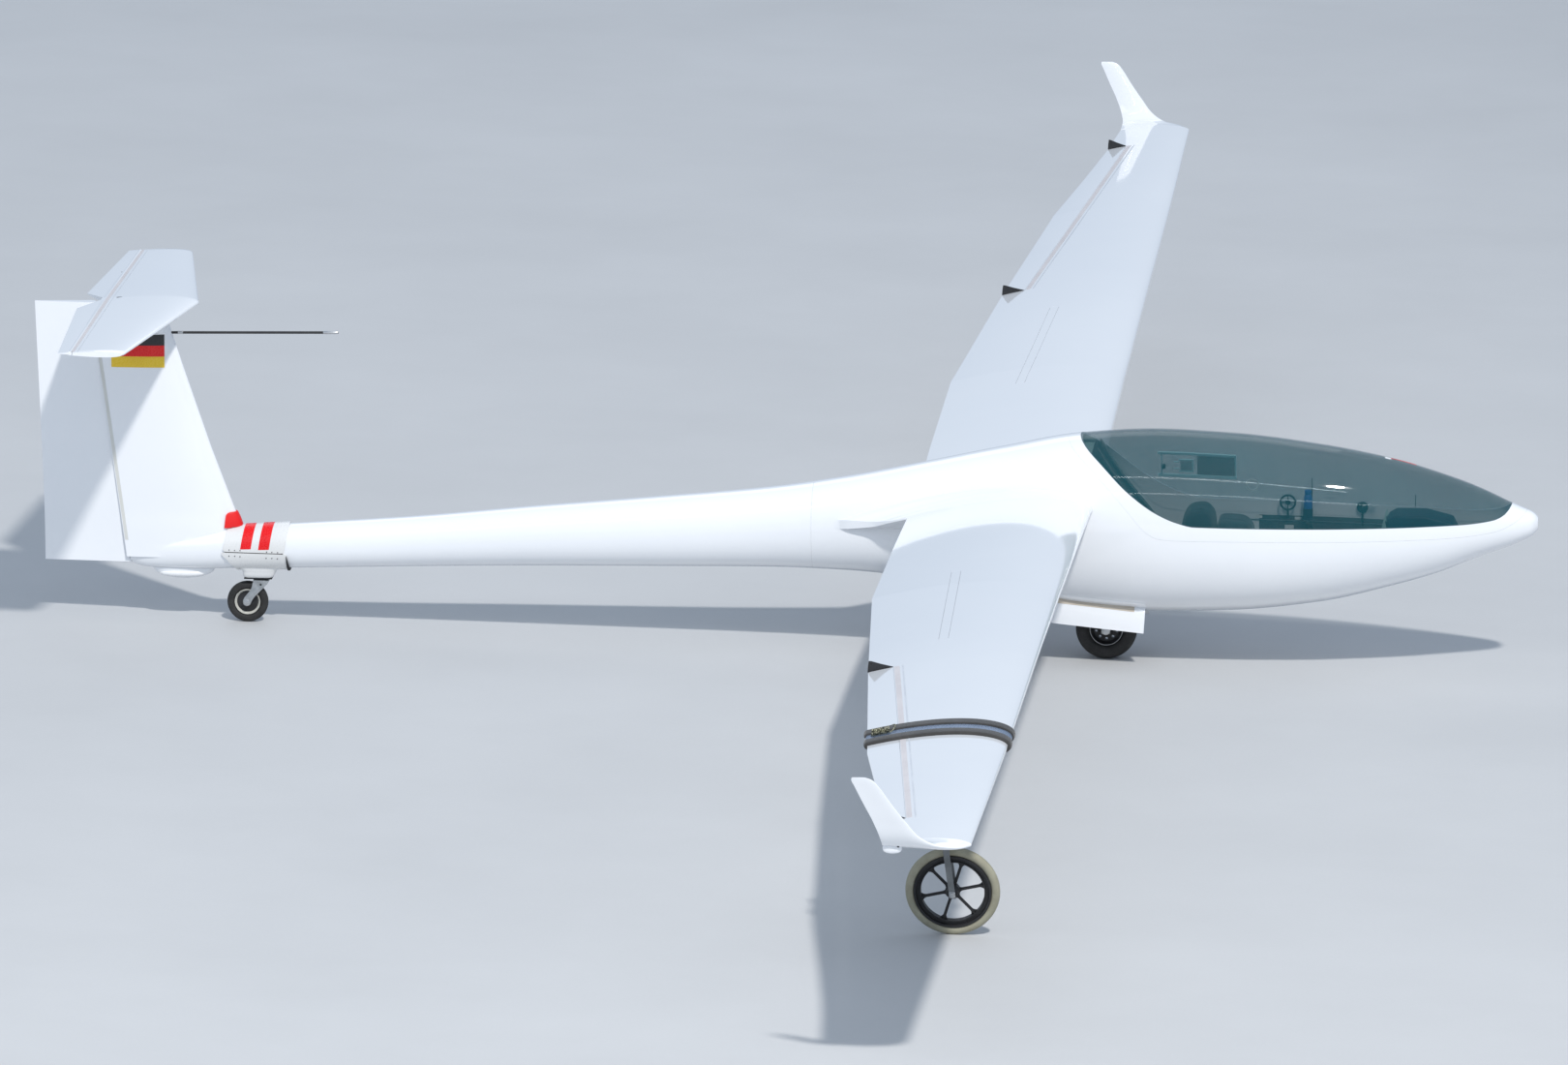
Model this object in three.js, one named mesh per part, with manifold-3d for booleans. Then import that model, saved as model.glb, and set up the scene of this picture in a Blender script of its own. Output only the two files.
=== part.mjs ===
import * as THREE from "three";
import Module from "manifold-3d";
import { mergeVertices } from "three/addons/utils/BufferGeometryUtils.js";

const wasm = await Module();
wasm.setup();

// Millimetres. In the airframe's own frame x runs forward, y to the left wing and z up, x = 0 is half way
// along the fuselage and z = 0 is the ground under the main wheel. The parked airframe is pitched nose up.
const parkPitch = 0.02566;
const mainWheelX = 1434;
const frameShiftX = 1477.4;

// Fuselage
const wall = 10;
const paneThick = 4;
const frameThick = 12;
const seam = 0.5;
const podBackX = 120;
const bulkheadX = 1300;
const cavityFrontX = 3215;
const hullPoints = 32;

// Wheel well and main wheel
const wellFront = 1632;
const wellBack = 1240;
const wellHalf = 92;
const wellTop = 500;
const mainRadius = 138;
const mainWidth = 96;
const mainRimRadius = 76;

// Tail surfaces
const rudderHingeTop = [-3140, 1560];
const rudderHingeBottom = [-2984, 372];
const elevatorHingeX = -3070;
const tailplaneZ = 1562;

// Wing
const wingRootY = 350;
const wingTipY = 7310;
const aileronInY = 3870;
const aileronOutY = 6890;
const aileronHingeIn = 790;
const aileronHingeOut = 1084;
const plateThick = 4;
const wingWall = 9;
const brakeInY = 1930;
const brakeOutY = 3420;
const brakeWidth = 46;
const brakeDepth = 62;

// Tail dolly
const dollyBack = -2552;
const dollyFront = -2257;
const dollySplitZ = 440;
const dollySkin = 7;
const castorX = -2350;
const dollyWheelRadius = 93;

// Wing wheel
const cuffY = -5235;
const cuffHalf = 135;
const cuffPad = 13;
const standX = 1125;
const standY = -5000;
const standLean = 0.18;
const standWheelRadius = 195;
const standTube = 19;
const saddleFront = 1352;
const saddleBack = 948;
const saddleLip = 22;
const saddleDepth = 66;

const paint = (color, roughness, metalness = 0) =>
  new THREE.MeshStandardMaterial({ color, roughness, metalness });
const looks = {
  white: paint(0xf2f4f6, 0.22),
  pane: paint(0x3f5c60, 0.08),
  black: paint(0x1a1b1d, 0.55),
  grey: paint(0x6b6f74, 0.6),
  navy: paint(0x1d2540, 0.5),
  aqua: paint(0xb9d4d2, 0.6),
  red: paint(0xc4242a, 0.5),
  cream: paint(0xb9b3a2, 0.75),
  steel: paint(0x9a9da0, 0.4, 0.85),
  rubber: paint(0x1c1c1c, 0.85),
  cloth: paint(0x4a4a48, 0.9),
};

// A closed solid from a three.js geometry.
const solidOf = (geometry) => {
  const bare = new THREE.BufferGeometry();
  const flat = geometry.index ? geometry.toNonIndexed() : geometry;
  bare.setAttribute("position", flat.getAttribute("position"));
  const merged = mergeVertices(bare, 1e-3);
  const solid = new wasm.Manifold(
    new wasm.Mesh({
      numProp: 3,
      vertProperties: new Float32Array(merged.attributes.position.array),
      triVerts: new Uint32Array(merged.index.array),
    }),
  );
  return solid;
};

// A named mesh from a solid.
const meshOf = (name, solid, look) => {
  const got = solid.getMesh();
  const count = got.vertProperties.length / got.numProp;
  const spots = new Float32Array(count * 3);
  for (let i = 0; i < count; i++) {
    spots.set(got.vertProperties.subarray(i * got.numProp, i * got.numProp + 3), i * 3);
  }
  const geometry = new THREE.BufferGeometry();
  geometry.setAttribute("position", new THREE.BufferAttribute(spots, 3));
  geometry.setIndex(new THREE.BufferAttribute(new Uint32Array(got.triVerts), 1));
  geometry.computeVertexNormals();
  const mesh = new THREE.Mesh(geometry, look);
  mesh.name = name;
  return mesh;
};

// A closed skin over rings that all have the same number of points.
const loft = (rings) => {
  const around = rings[0].length;
  const spots = [];
  const faces = [];
  for (const ring of rings) {
    for (const point of ring) {
      spots.push(...point);
    }
  }
  for (let k = 0; k < rings.length - 1; k++) {
    for (let i = 0; i < around; i++) {
      const a = k * around + i;
      const b = k * around + ((i + 1) % around);
      faces.push(a, b, b + around, a, b + around, a + around);
    }
  }
  for (const [k, turn] of [[0, 1], [rings.length - 1, 0]]) {
    const middle = spots.length / 3;
    const sum = [0, 0, 0];
    for (const point of rings[k]) {
      point.forEach((v, n) => (sum[n] += v / around));
    }
    spots.push(...sum);
    for (let i = 0; i < around; i++) {
      const a = k * around + i;
      const b = k * around + ((i + 1) % around);
      faces.push(middle, turn ? b : a, turn ? a : b);
    }
  }
  const build = (list) =>
    new wasm.Manifold(
      new wasm.Mesh({
        numProp: 3,
        vertProperties: new Float32Array(spots),
        triVerts: new Uint32Array(list),
      }),
    );
  const solid = build(faces);
  if (solid.volume() > 0) {
    return solid;
  }
  for (let i = 0; i < faces.length; i += 3) {
    [faces[i + 1], faces[i + 2]] = [faces[i + 2], faces[i + 1]];
  }
  return build(faces);
};

const block = (x0, x1, y0, y1, z0, z1) => {
  const geometry = new THREE.BoxGeometry(x1 - x0, y1 - y0, z1 - z0);
  geometry.translate((x0 + x1) / 2, (y0 + y1) / 2, (z0 + z1) / 2);
  return solidOf(geometry);
};

// A round bar between two points.
const bar = (from, to, radius, sides = 20) => {
  const a = new THREE.Vector3(...from);
  const b = new THREE.Vector3(...to);
  const geometry = new THREE.CylinderGeometry(radius, radius, a.distanceTo(b), sides);
  const turn = new THREE.Quaternion().setFromUnitVectors(
    new THREE.Vector3(0, 1, 0),
    b.clone().sub(a).normalize(),
  );
  geometry.applyQuaternion(turn);
  geometry.translate((a.x + b.x) / 2, (a.y + b.y) / 2, (a.z + b.z) / 2);
  return solidOf(geometry);
};

// A slab whose outline is drawn in side view (x, z), between two values of y.
const sideSlab = (outline, y0, y1) => {
  const shape = new THREE.Shape(outline.map(([x, z]) => new THREE.Vector2(x, z)));
  const geometry = new THREE.ExtrudeGeometry(shape, { depth: y1 - y0, bevelEnabled: false });
  geometry.rotateX(Math.PI / 2);
  geometry.translate(0, y1, 0);
  return solidOf(geometry);
};

// A slab whose outline is drawn in plan (x, y), between two heights.
const planSlab = (outline, z0, z1) => {
  const shape = new THREE.Shape(outline.map(([x, y]) => new THREE.Vector2(x, y)));
  const geometry = new THREE.ExtrudeGeometry(shape, { depth: z1 - z0, bevelEnabled: false });
  geometry.translate(0, 0, z0);
  return solidOf(geometry);
};

// A ring or disc that turns about the y axis through (x, z), from a profile of (radius, y).
const turned = (profile, x, y, z, segments = 32) => {
  const points = profile.map(([r, w]) => new THREE.Vector2(r, w));
  const first = points[0];
  const last = points[points.length - 1];
  if (first.x > 0 || last.x > 0) {
    points.push(first.clone());
  }
  const geometry = new THREE.LatheGeometry(points, segments);
  geometry.translate(x, y, z);
  let solid = solidOf(geometry);
  if (solid.volume() < 0) {
    const back = new THREE.LatheGeometry(points.reverse(), segments);
    back.translate(x, y, z);
    solid = solidOf(back);
  }
  return solid;
};

const mirrored = (solid) => solid.mirror([0, 1, 0]);

const mix = (a, b, t) => a + (b - a) * t;

// A row of the table at position u, each column taken in a straight line between its neighbours.
const rowAt = (table, u) => {
  const up = table[0][0] < table[table.length - 1][0];
  const rows = up ? table : [...table].reverse();
  if (u <= rows[0][0]) {
    return rows[0];
  }
  for (let i = 1; i < rows.length; i++) {
    if (u <= rows[i][0]) {
      const t = (u - rows[i - 1][0]) / (rows[i][0] - rows[i - 1][0]);
      return rows[i].map((v, n) => mix(rows[i - 1][n], v, t));
    }
  }
  return rows[rows.length - 1];
};

// Fuselage sections: station x, height of the top, height of the bottom, half width, height of the widest
// point.
const hull = [
  [3360, 681, 619, 31, 650],
  [3338, 699, 597, 54, 648],
  [3290, 720, 570, 80, 646],
  [3225, 748, 542, 106, 642],
  [3158, 780, 518, 130, 638],
  [3060, 822, 480, 158, 632],
  [2927, 868, 425, 192, 624],
  [2711, 930, 360, 239, 612],
  [2386, 990, 283, 288, 604],
  [2000, 1034, 240, 313, 600],
  [1650, 1048, 229, 319, 604],
  [1326, 1027, 245, 302, 612],
  [958, 957, 306, 254, 622],
  [615, 883, 357, 209, 618],
  [271, 812, 388, 183, 606],
  [-73, 757, 397, 165, 580],
  [-588, 704, 391, 148, 548],
  [-1108, 655, 384, 132, 520],
  [-1721, 593, 369, 110, 482],
  [-2261, 553, 353, 95, 454],
  [-2500, 536, 347, 84, 443],
  [-2720, 512, 341, 68, 430],
  [-2900, 488, 347, 46, 420],
  [-2972, 476, 366, 34, 420],
];

const hullRing = (x, grow) => {
  const [, top, bottom, half, wide] = rowAt(hull, x);
  const ring = [];
  for (let i = 0; i < hullPoints; i++) {
    const angle = (2 * Math.PI * i) / hullPoints;
    const c = Math.cos(angle);
    const s = Math.sin(angle);
    const power = s > 0 ? 0.94 : 0.88;
    const y = Math.sign(c) * Math.abs(c) ** power * (half + grow);
    const rise = s > 0 ? top - wide + grow : wide - bottom + grow;
    ring.push([x, y, wide + Math.sign(s) * Math.abs(s) ** power * rise]);
  }
  return ring;
};

const hullBetween = (x0, x1, grow) => {
  const inner = hull.map((row) => row[0]).filter((x) => x > x0 + 1 && x < x1 - 1);
  const stations = [x1, ...inner, x0];
  return loft(stations.map((x) => hullRing(x, grow)));
};

// Where the canopy meets the pod, and where its pane meets its frame, in side view (x, z).
const partingLine = [
  [1248, 1040],
  [1262, 1018],
  [1396, 893],
  [1552, 728],
  [1630, 641],
  [1685, 614],
  [2014, 611],
  [2475, 608],
  [2939, 612],
  [3167, 632],
  [3270, 676],
  [3312, 712],
];
const paneLine = [
  [1300, 1048],
  [1321, 1020],
  [1429, 922],
  [1551, 812],
  [1676, 728],
  [1767, 690],
  [1844, 673],
  [2628, 666],
  [3011, 670],
  [3165, 684],
  [3218, 708],
  [3246, 741],
];
const above = (line, shift) => {
  const low = line.map(([x, z]) => [x, z + shift]);
  return [...low, [low[low.length - 1][0], 1300], [low[0][0], 1300]];
};
const canopyZone = sideSlab(above(partingLine, 0), -600, 600);
const canopyCut = sideSlab(above(partingLine, -seam), -600, 600);
const paneZone = sideSlab(above(paneLine, seam), -600, 600);
const paneCut = sideSlab(above(paneLine, 0), -600, 600);

// The wing's profile: thickness from a laminar section with its camber line, fraction of chord from 0 at
// the nose to 1 at the trailing edge.
const profileSide = 13;
const profile = (depth, camber) => {
  const points = [];
  const half = (u) =>
    5 * depth * (0.2969 * Math.sqrt(u) - 0.126 * u - 0.3516 * u ** 2 + 0.2843 * u ** 3 - 0.0986 * u ** 4);
  const bend = (u) => camber * 4 * u * (1 - u);
  for (let i = 0; i <= profileSide; i++) {
    const u = (1 + Math.cos((Math.PI * i) / profileSide)) / 2;
    points.push([u, bend(u) + half(u)]);
  }
  for (let i = 1; i <= profileSide; i++) {
    const u = (1 - Math.cos((Math.PI * i) / profileSide)) / 2;
    points.push([u, bend(u) - half(u)]);
  }
  return points;
};

// Wing sections: y, x of the leading edge, x of the trailing edge, z of the leading edge, z of the trailing
// edge, thickness over chord.
const wingTable = [
  [350, 1386, 566, 745, 702, 0.145],
  [1000, 1380, 562, 763, 726, 0.143],
  [2215, 1374, 563, 797, 768, 0.14],
  [3870, 1375, 684, 856, 840, 0.138],
  [5515, 1378, 817, 909, 899, 0.134],
  [6260, 1378, 917, 942, 933, 0.13],
  [6890, 1376, 994, 968, 961, 0.125],
  [7310, 1375, 1030, 984, 980, 0.11],
];
const wingRing = (y, grow = 0) => {
  const [, lead, trail, zLead, zTrail, depth] = rowAt(wingTable, y);
  const chord = lead - trail;
  return profile(depth, 0.022).map(([u, h], i) => {
    const out = i <= profileSide ? 1 : -1;
    return [
      lead - u * chord + (u < 0.02 ? grow : 0) - (u > 0.98 ? grow : 0),
      y,
      mix(zLead, zTrail, u) + h * chord + out * grow,
    ];
  });
};
const wingTopAt = (x, y) => {
  const [, lead, trail, zLead, zTrail, depth] = rowAt(wingTable, y);
  const u = (lead - x) / (lead - trail);
  const half =
    5 * depth * (0.2969 * Math.sqrt(u) - 0.126 * u - 0.3516 * u ** 2 + 0.2843 * u ** 3 - 0.0986 * u ** 4);
  return mix(zLead, zTrail, u) + (0.022 * 4 * u * (1 - u) + half) * (lead - trail);
};
const hingeXAt = (y) => mix(aileronHingeIn, aileronHingeOut, (y - aileronInY) / (aileronOutY - aileronInY));

const wholeWing = loft(wingTable.map(([y]) => wingRing(y)));

// The aileron's bay: behind the hinge line, with its front face sloped back from the upper skin.
const bay = (y0, y1, gap, slope) => {
  const rings = [y0, y1].map((y) => {
    const hx = hingeXAt(y) - gap;
    const top = wingTopAt(hx, y);
    return [
      [hx, y, top + 40],
      [hx, y, top],
      [hx - slope * 60, y, top - 60],
      [hx - 400, y, top - 60],
      [hx - 400, y, top + 40],
    ];
  });
  return loft(rings);
};
const aileronBay = bay(aileronInY - plateThick - seam, aileronOutY + plateThick + seam, 0, 0);
const aileronLeft = wholeWing.intersect(bay(aileronInY + 5, aileronOutY - 5, 1, 0.5));

// Aileron end plates: a sector that stands on the wing at each end of the aileron, closing the rib.
const endPlate = (y) => {
  const hx = hingeXAt(y) - 1;
  const [, , trail, , zTrail] = rowAt(wingTable, y);
  const apex = wingTopAt(hx, y);
  const reach = hx - trail;
  const outline = [[hx - 2, apex - 18]];
  outline.push([hx, apex + 1]);
  for (const [t, h] of [[0.5, 26], [0.86, 46], [0.97, 50], [1.0, 30], [1.02, 4]]) {
    outline.push([hx - t * reach, mix(apex, zTrail, t) + h]);
  }
  outline.push([trail + 1, zTrail - 2]);
  const slab = sideSlab(outline, y, y + plateThick);
  return slab;
};

// Airbrake box: from the upper skin down, with an upper and a lower blade.
const brakeXAt = (y) => mix(906, 965, (y - brakeInY) / (brakeOutY - brakeInY));
const brakeBox = (y0, y1, x0, x1, down, up) =>
  loft(
    [y0, y1].map((y) => {
      const cx = brakeXAt(y);
      const top = wingTopAt(cx, y);
      return [
        [cx + x1, y, top - down],
        [cx + x1, y, top + up],
        [cx + x0, y, top + up],
        [cx + x0, y, top - down],
      ];
    }),
  );
const brakeSlot = brakeBox(brakeInY, brakeOutY, -brakeWidth / 2, brakeWidth / 2, brakeDepth, 30);
const brakeCapZone = brakeBox(brakeInY + 4, brakeOutY - 4, 3 - brakeWidth / 2, brakeWidth / 2 - 3, 5, 30);
const brakeCap = wholeWing.intersect(brakeCapZone);
const brakeUpper = brakeCap.add(brakeBox(brakeInY + 14, brakeOutY - 14, 5, 9, brakeDepth - 0.4, -3));
const brakeLower = brakeBox(brakeInY + 20, brakeOutY - 20, -7, -3, brakeDepth - 0.4, -6.5);

// Inside of the wing's shell, open at the root rib. It runs round the airbrake box and stops ahead of the
// aileron's bay.
const shellRing = (y) => {
  const [, lead, trail, zLead, zTrail, depth] = rowAt(wingTable, Math.max(y, wingRootY));
  const chord = lead - trail;
  const half = (u) =>
    5 * depth * (0.2969 * Math.sqrt(u) - 0.126 * u - 0.3516 * u ** 2 + 0.2843 * u ** 3 - 0.0986 * u ** 4);
  const at = (u, side) => [
    lead - u * chord,
    y,
    mix(zLead, zTrail, u) + (0.022 * 4 * u * (1 - u) + side * half(u)) * chord - side * wingWall,
  ];
  const shares = [0.7, 0.55, 0.4, 0.25, 0.14, 0.06, 0.035];
  return [...shares.map((u) => at(u, 1)), ...[...shares].reverse().map((u) => at(u, -1))];
};
const shellInside = loft([wingRootY - 10, 1000, 2215, 3870, 5515, 6260, 6880].map(shellRing)).subtract(
  brakeBox(brakeInY - 8, brakeOutY + 8, -brakeWidth / 2 - 8, brakeWidth / 2 + 8, brakeDepth + 8, 30),
);

const wingLeft = wholeWing.subtract(aileronBay).subtract(brakeSlot).subtract(shellInside);

// Winglet sections: y, z, x of the leading edge, x of the trailing edge, cant in degrees, thickness.
const wingletTable = [
  [7310.3, 982, 1375, 1030, 0, 0.11],
  [7372, 988, 1338, 1032, 14, 0.1],
  [7412, 1004, 1252, 1034, 42, 0.1],
  [7436, 1040, 1186, 1026, 68, 0.1],
  [7456, 1110, 1128, 1000, 78, 0.09],
  [7474, 1190, 1070, 962, 80, 0.09],
  [7488, 1256, 1026, 932, 82, 0.09],
  [7494, 1284, 1000, 920, 84, 0.08],
  [7496, 1293, 975, 922, 84, 0.06],
];
const wingletShape = loft(
  wingletTable.map(([y, z, lead, trail, cant, depth]) => {
    const tilt = (cant * Math.PI) / 180;
    return profile(depth, 0.02).map(([u, h]) => {
      const out = h * (lead - trail);
      return [lead - u * (lead - trail), y - out * Math.sin(tilt), z + out * Math.cos(tilt)];
    });
  }),
);
const tipSkid = new THREE.SphereGeometry(1, 14, 8);
tipSkid.scale(34, 11, 20);
tipSkid.translate(1075, 7396, 984);
const wingletLeft = wingletShape.add(solidOf(tipSkid));

// Fin sections: z, x of the leading edge, x of the rudder's trailing edge, half thickness.
const finTable = [
  [400, -2330, -3362, 58],
  [540, -2400, -3362, 54],
  [600, -2500, -3363, 50],
  [900, -2600, -3370, 44],
  [1250, -2716, -3381, 38],
  [1461, -2784, -3388, 34],
  [1530, -2806, -3390, 32],
  [1560, -2816, -3391, 31],
];
const finSide = 11;
const finRing = (z) => {
  const [, lead, trail, half] = rowAt(finTable, z);
  const points = [];
  const wide = (u) =>
    (half / 0.5) *
    5 *
    (0.2969 * Math.sqrt(u) - 0.126 * u - 0.3516 * u ** 2 + 0.2843 * u ** 3 - 0.0986 * u ** 4);
  for (let i = 0; i <= finSide; i++) {
    const u = (1 + Math.cos((Math.PI * i) / finSide)) / 2;
    points.push([lead - u * (lead - trail), wide(u), z]);
  }
  for (let i = 1; i <= finSide; i++) {
    const u = (1 - Math.cos((Math.PI * i) / finSide)) / 2;
    points.push([lead - u * (lead - trail), -wide(u), z]);
  }
  return points;
};
const rudderAxisX = (z) =>
  mix(rudderHingeBottom[0], rudderHingeTop[0], (z - rudderHingeBottom[1]) / (rudderHingeTop[1] - rudderHingeBottom[1]));
const rudderNose = 26;
const hingeRod = (radius, z0, z1) =>
  bar([rudderAxisX(z0), 0, z0], [rudderAxisX(z1), 0, z1], radius, 28);
const behindHinge = (shift, z0, z1) =>
  sideSlab(
    [
      [rudderAxisX(z0) + shift, z0],
      [rudderAxisX(z1) + shift, z1],
      [-3500, z1],
      [-3500, z0],
    ],
    -200,
    200,
  );
const hingePads = (list) =>
  wasm.Manifold.union(
    list.map((z) =>
      hingeRod(rudderNose + 6, z - 14, z + 14)
        .subtract(hingeRod(rudderNose + 0.4, z - 40, z + 40))
        .intersect(block(rudderAxisX(z) + 17, rudderAxisX(z) + 60, -40, 40, z - 12, z + 12)),
    ),
  );
const finWhole = loft(finTable.map(([z]) => finRing(z)));
const finBody = finWhole.subtract(behindHinge(2, 300, 1700)).subtract(hingeRod(rudderNose + 5, 300, 1700));
const underElevator = block(-3300, -3036, -100, 100, 1530, 1700);
const rudderTable = [
  [372, -2600, -3360, 52],
  [600, -2500, -3363, 50],
  [900, -2600, -3370, 44],
  [1250, -2716, -3381, 38],
  [1461, -2784, -3388, 34],
  [1562, -2810, -3391, 31],
];
const rudderRing = (z) => {
  const [, lead, trail, half] = rowAt(rudderTable, z);
  const keep = rowAt(finTable, Math.max(z, 600));
  const u = (rudderAxisX(z) - keep[1]) / (trail - keep[1]);
  const wide =
    (keep[3] / 0.5) *
    5 *
    (0.2969 * Math.sqrt(u) - 0.126 * u - 0.3516 * u ** 2 + 0.2843 * u ** 3 - 0.0986 * u ** 4);
  const r = Math.min(wide, rudderNose);
  const points = [];
  for (let i = 0; i <= 8; i++) {
    const a = -Math.PI / 2 + (Math.PI * i) / 8;
    points.push([rudderAxisX(z) + r * Math.cos(a), r * Math.sin(a), z]);
  }
  points.push([mix(rudderAxisX(z), trail, 0.5), r * 0.56, z]);
  points.push([trail, 1.5, z]);
  points.push([trail, -1.5, z]);
  points.push([mix(rudderAxisX(z), trail, 0.5), -r * 0.56, z]);
  return points;
};
const rudderSolid = loft(rudderTable.map(([z]) => rudderRing(z)));

const boomWhole = hullBetween(-2972, podBackX - seam, 0);

// Root stub that carries each wing on the pod. Its trailing edge runs aft along the fuselage: y, x of the
// leading edge, x of the trailing edge, z of the leading edge, z of the trailing edge, thickness, swelling.
const stubTable = [
  [350, 1386, 566, 745, 702, 0.145, 0],
  [320, 1387, 515, 745, 686, 0.147, 2],
  [290, 1390, 465, 745, 670, 0.15, 4],
  [240, 1396, 395, 745, 648, 0.153, 9],
  [200, 1402, 285, 745, 636, 0.146, 14],
  [130, 1414, 160, 745, 620, 0.134, 20],
];
const stub = loft(
  stubTable.map(([y, lead, trail, zLead, zTrail, depth, swell]) =>
    profile(depth, 0.022).map(([u, h], i) => [
      lead - u * (lead - trail),
      y,
      mix(zLead, zTrail, u) + h * (lead - trail) + (i <= profileSide ? swell : -swell),
    ]),
  ),
);
const stubs = stub.add(mirrored(stub));

// Pod: outer hull with stubs, less the cockpit, the canopy's zone and the wheel well.
const cockpit = hullBetween(bulkheadX, cavityFrontX, -wall);
const wellBox = block(wellBack - 8, wellFront + 8, -wellHalf - 8, wellHalf + 8, 150, wellTop + 8);
const well = block(wellBack, wellFront, -wellHalf, wellHalf, 150, wellTop);
const podOuter = hullBetween(podBackX, 3360, 0);
const pod = podOuter
  .add(stubs)
  .subtract(cockpit.subtract(wellBox))
  .subtract(canopyCut.subtract(block(900, bulkheadX, -600, 600, 0, 2000)))
  .subtract(canopyCut.intersect(block(900, bulkheadX + 1, -600, 600, 0, 2000)).intersect(
    podOuter.subtract(hullBetween(1000, 2600, -frameThick - 2)),
  ))
  .subtract(well);

// Canopy: the part of the hull's skin above the parting line.
const thinSkin = (depth) => hullBetween(1200, 3340, 0).subtract(hullBetween(1190, 3345, -depth));
const canopyFrame = thinSkin(frameThick).intersect(canopyZone).subtract(paneCut);
const canopyPane = thinSkin(paneThick).intersect(paneZone);

// Tailplane sections: y, x of the leading edge, x of the trailing edge, thickness over chord.
const tailTable = [
  [-1134, -2836, -3123, 0.09],
  [-1110, -2826, -3124, 0.105],
  [0, -2648, -3186, 0.115],
  [1110, -2826, -3124, 0.105],
  [1134, -2836, -3123, 0.09],
];
const tailRing = (y) => {
  const [, lead, trail, depth] = rowAt(tailTable, y);
  return profile(depth, 0).map(([u, h]) => [lead - u * (lead - trail), y, tailplaneZ + h * (lead - trail)]);
};
const wholeTail = loft(tailTable.map(([y]) => tailRing(y)));
const elevatorNoseAt = (y) => mix(15, 9, Math.abs(y) / 1134);
const noseRod = (grow, reach) =>
  loft(
    [-reach, 0, reach].map((y) => {
      const r = elevatorNoseAt(y) + grow;
      const ring = [];
      for (let i = 0; i < 20; i++) {
        const a = (2 * Math.PI * i) / 20;
        ring.push([elevatorHingeX + r * Math.cos(a), y, tailplaneZ + r * Math.sin(a)]);
      }
      return ring;
    }),
  );
const behindTail = (shift) => block(-3400, elevatorHingeX + shift, -1300, 1300, 1400, 1700);
const tailBody = boomWhole
  .add(finBody)
  .subtract(hingeRod(rudderNose + 5, 300, 1700))
  .subtract(underElevator)
  .subtract(wholeTail.add(wholeTail.translate([0, 0, -seam])).add(block(-3300, -2700, -100, 100, tailplaneZ, 1700)))
  .add(hingePads([440, 900, 1380]));
const elevatorPads = [-950, -560, -150, 150, 560, 950].map((y) =>
  noseRod(5, 1100)
    .subtract(noseRod(0.4, 1120))
    .intersect(block(elevatorHingeX + 0.72 * elevatorNoseAt(y), -3030, y - 12, y + 12, 1500, 1650)),
);
const tailplane = wasm.Manifold.union([
  wholeTail.subtract(behindTail(1)).subtract(noseRod(4, 1200)),
  ...elevatorPads,
]);
const notch = planSlab([[-3088, -26], [-3088, 26], [-3200, 200], [-3200, -200]], 1400, 1700);
const elevator = wholeTail
  .intersect(behindTail(0))
  .add(noseRod(0, 1125))
  .intersect(block(-3400, -3000, -1126, 1126, 1400, 1700))
  .subtract(notch);

// Tail skid fairing with its lens-shaped side covers, and the probe on the fin.
const skidBody = new THREE.SphereGeometry(1, 22, 12);
skidBody.scale(138, 30, 48);
skidBody.translate(-2732, 0, 344);
const skidCover = new THREE.SphereGeometry(1, 18, 10);
skidCover.scale(72, 42, 30);
skidCover.translate(-2732, 0, 336);
const skid = solidOf(skidBody)
  .add(solidOf(skidCover))
  .subtract(hullBetween(-2960, -2400, seam));
const probe = bar([-2790, 0, 1424], [-2020, 0, 1435], 6, 14).subtract(
  loft(finTable.map(([z]) => finRing(z).map(([x, y]) => [x + 0.4, y, z]))),
);

// Cockpit furniture.
const shellStrip = (line, depth, half) => {
  const back = line.map(([x, z]) => [x - depth * 0.45, z - depth]).reverse();
  return sideSlab([...line, ...back], -half, half);
};
const innerFit = hullBetween(bulkheadX + 0.4, cavityFrontX - 5, -wall - 0.4);
const seatPan = shellStrip(
  [[2600, 455], [2480, 420], [2300, 372], [2000, 366], [1870, 392], [1800, 440]],
  8,
  400,
).intersect(innerFit);
const backrest = shellStrip([[1799.8, 441.2], [1700, 540], [1640, 622], [1500, 800], [1376, 968]], 10, 190)
  .intersect(hullBetween(1310, 2000, -frameThick - 8));
const rearDeck = shellStrip([[1376.5, 950.5], [1304, 960]], 8, 400)
  .intersect(hullBetween(bulkheadX + 0.4, 2000, -frameThick - 6));
const cushion = sideSlab(
  [[2110, 368.8], [2100, 600], [2060, 655], [1950, 662], [1930, 640], [1930.2, 381], [2000, 366.5]],
  -150,
  120,
);
const pack = sideSlab(
  [[1929.7, 381], [1926, 660], [1880, 712], [1800, 700], [1770, 640], [1770.6, 471.4], [1801, 440.3], [1871, 392.3]],
  -160,
  150,
);
const floorLine = [[3150, 560], [3000, 520], [2800, 470], [2602, 455.5]];
const cockpitFloor = shellStrip(floorLine, 8, 400).intersect(innerFit);
const podCase = sideSlab(
  [[2960, 510.5], [3010, 600], [2980, 660], [2860, 690], [2730, 690], [2690, 668], [2700, 560], [2735, 465.8],
    [2800, 470.5]],
  -92,
  92,
);
const stick = bar([2360, 0, 391.2], [2352, 0, 560], 11, 14).add(bar([2352, 0, 545], [2330, 0, 640], 16, 14));

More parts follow.
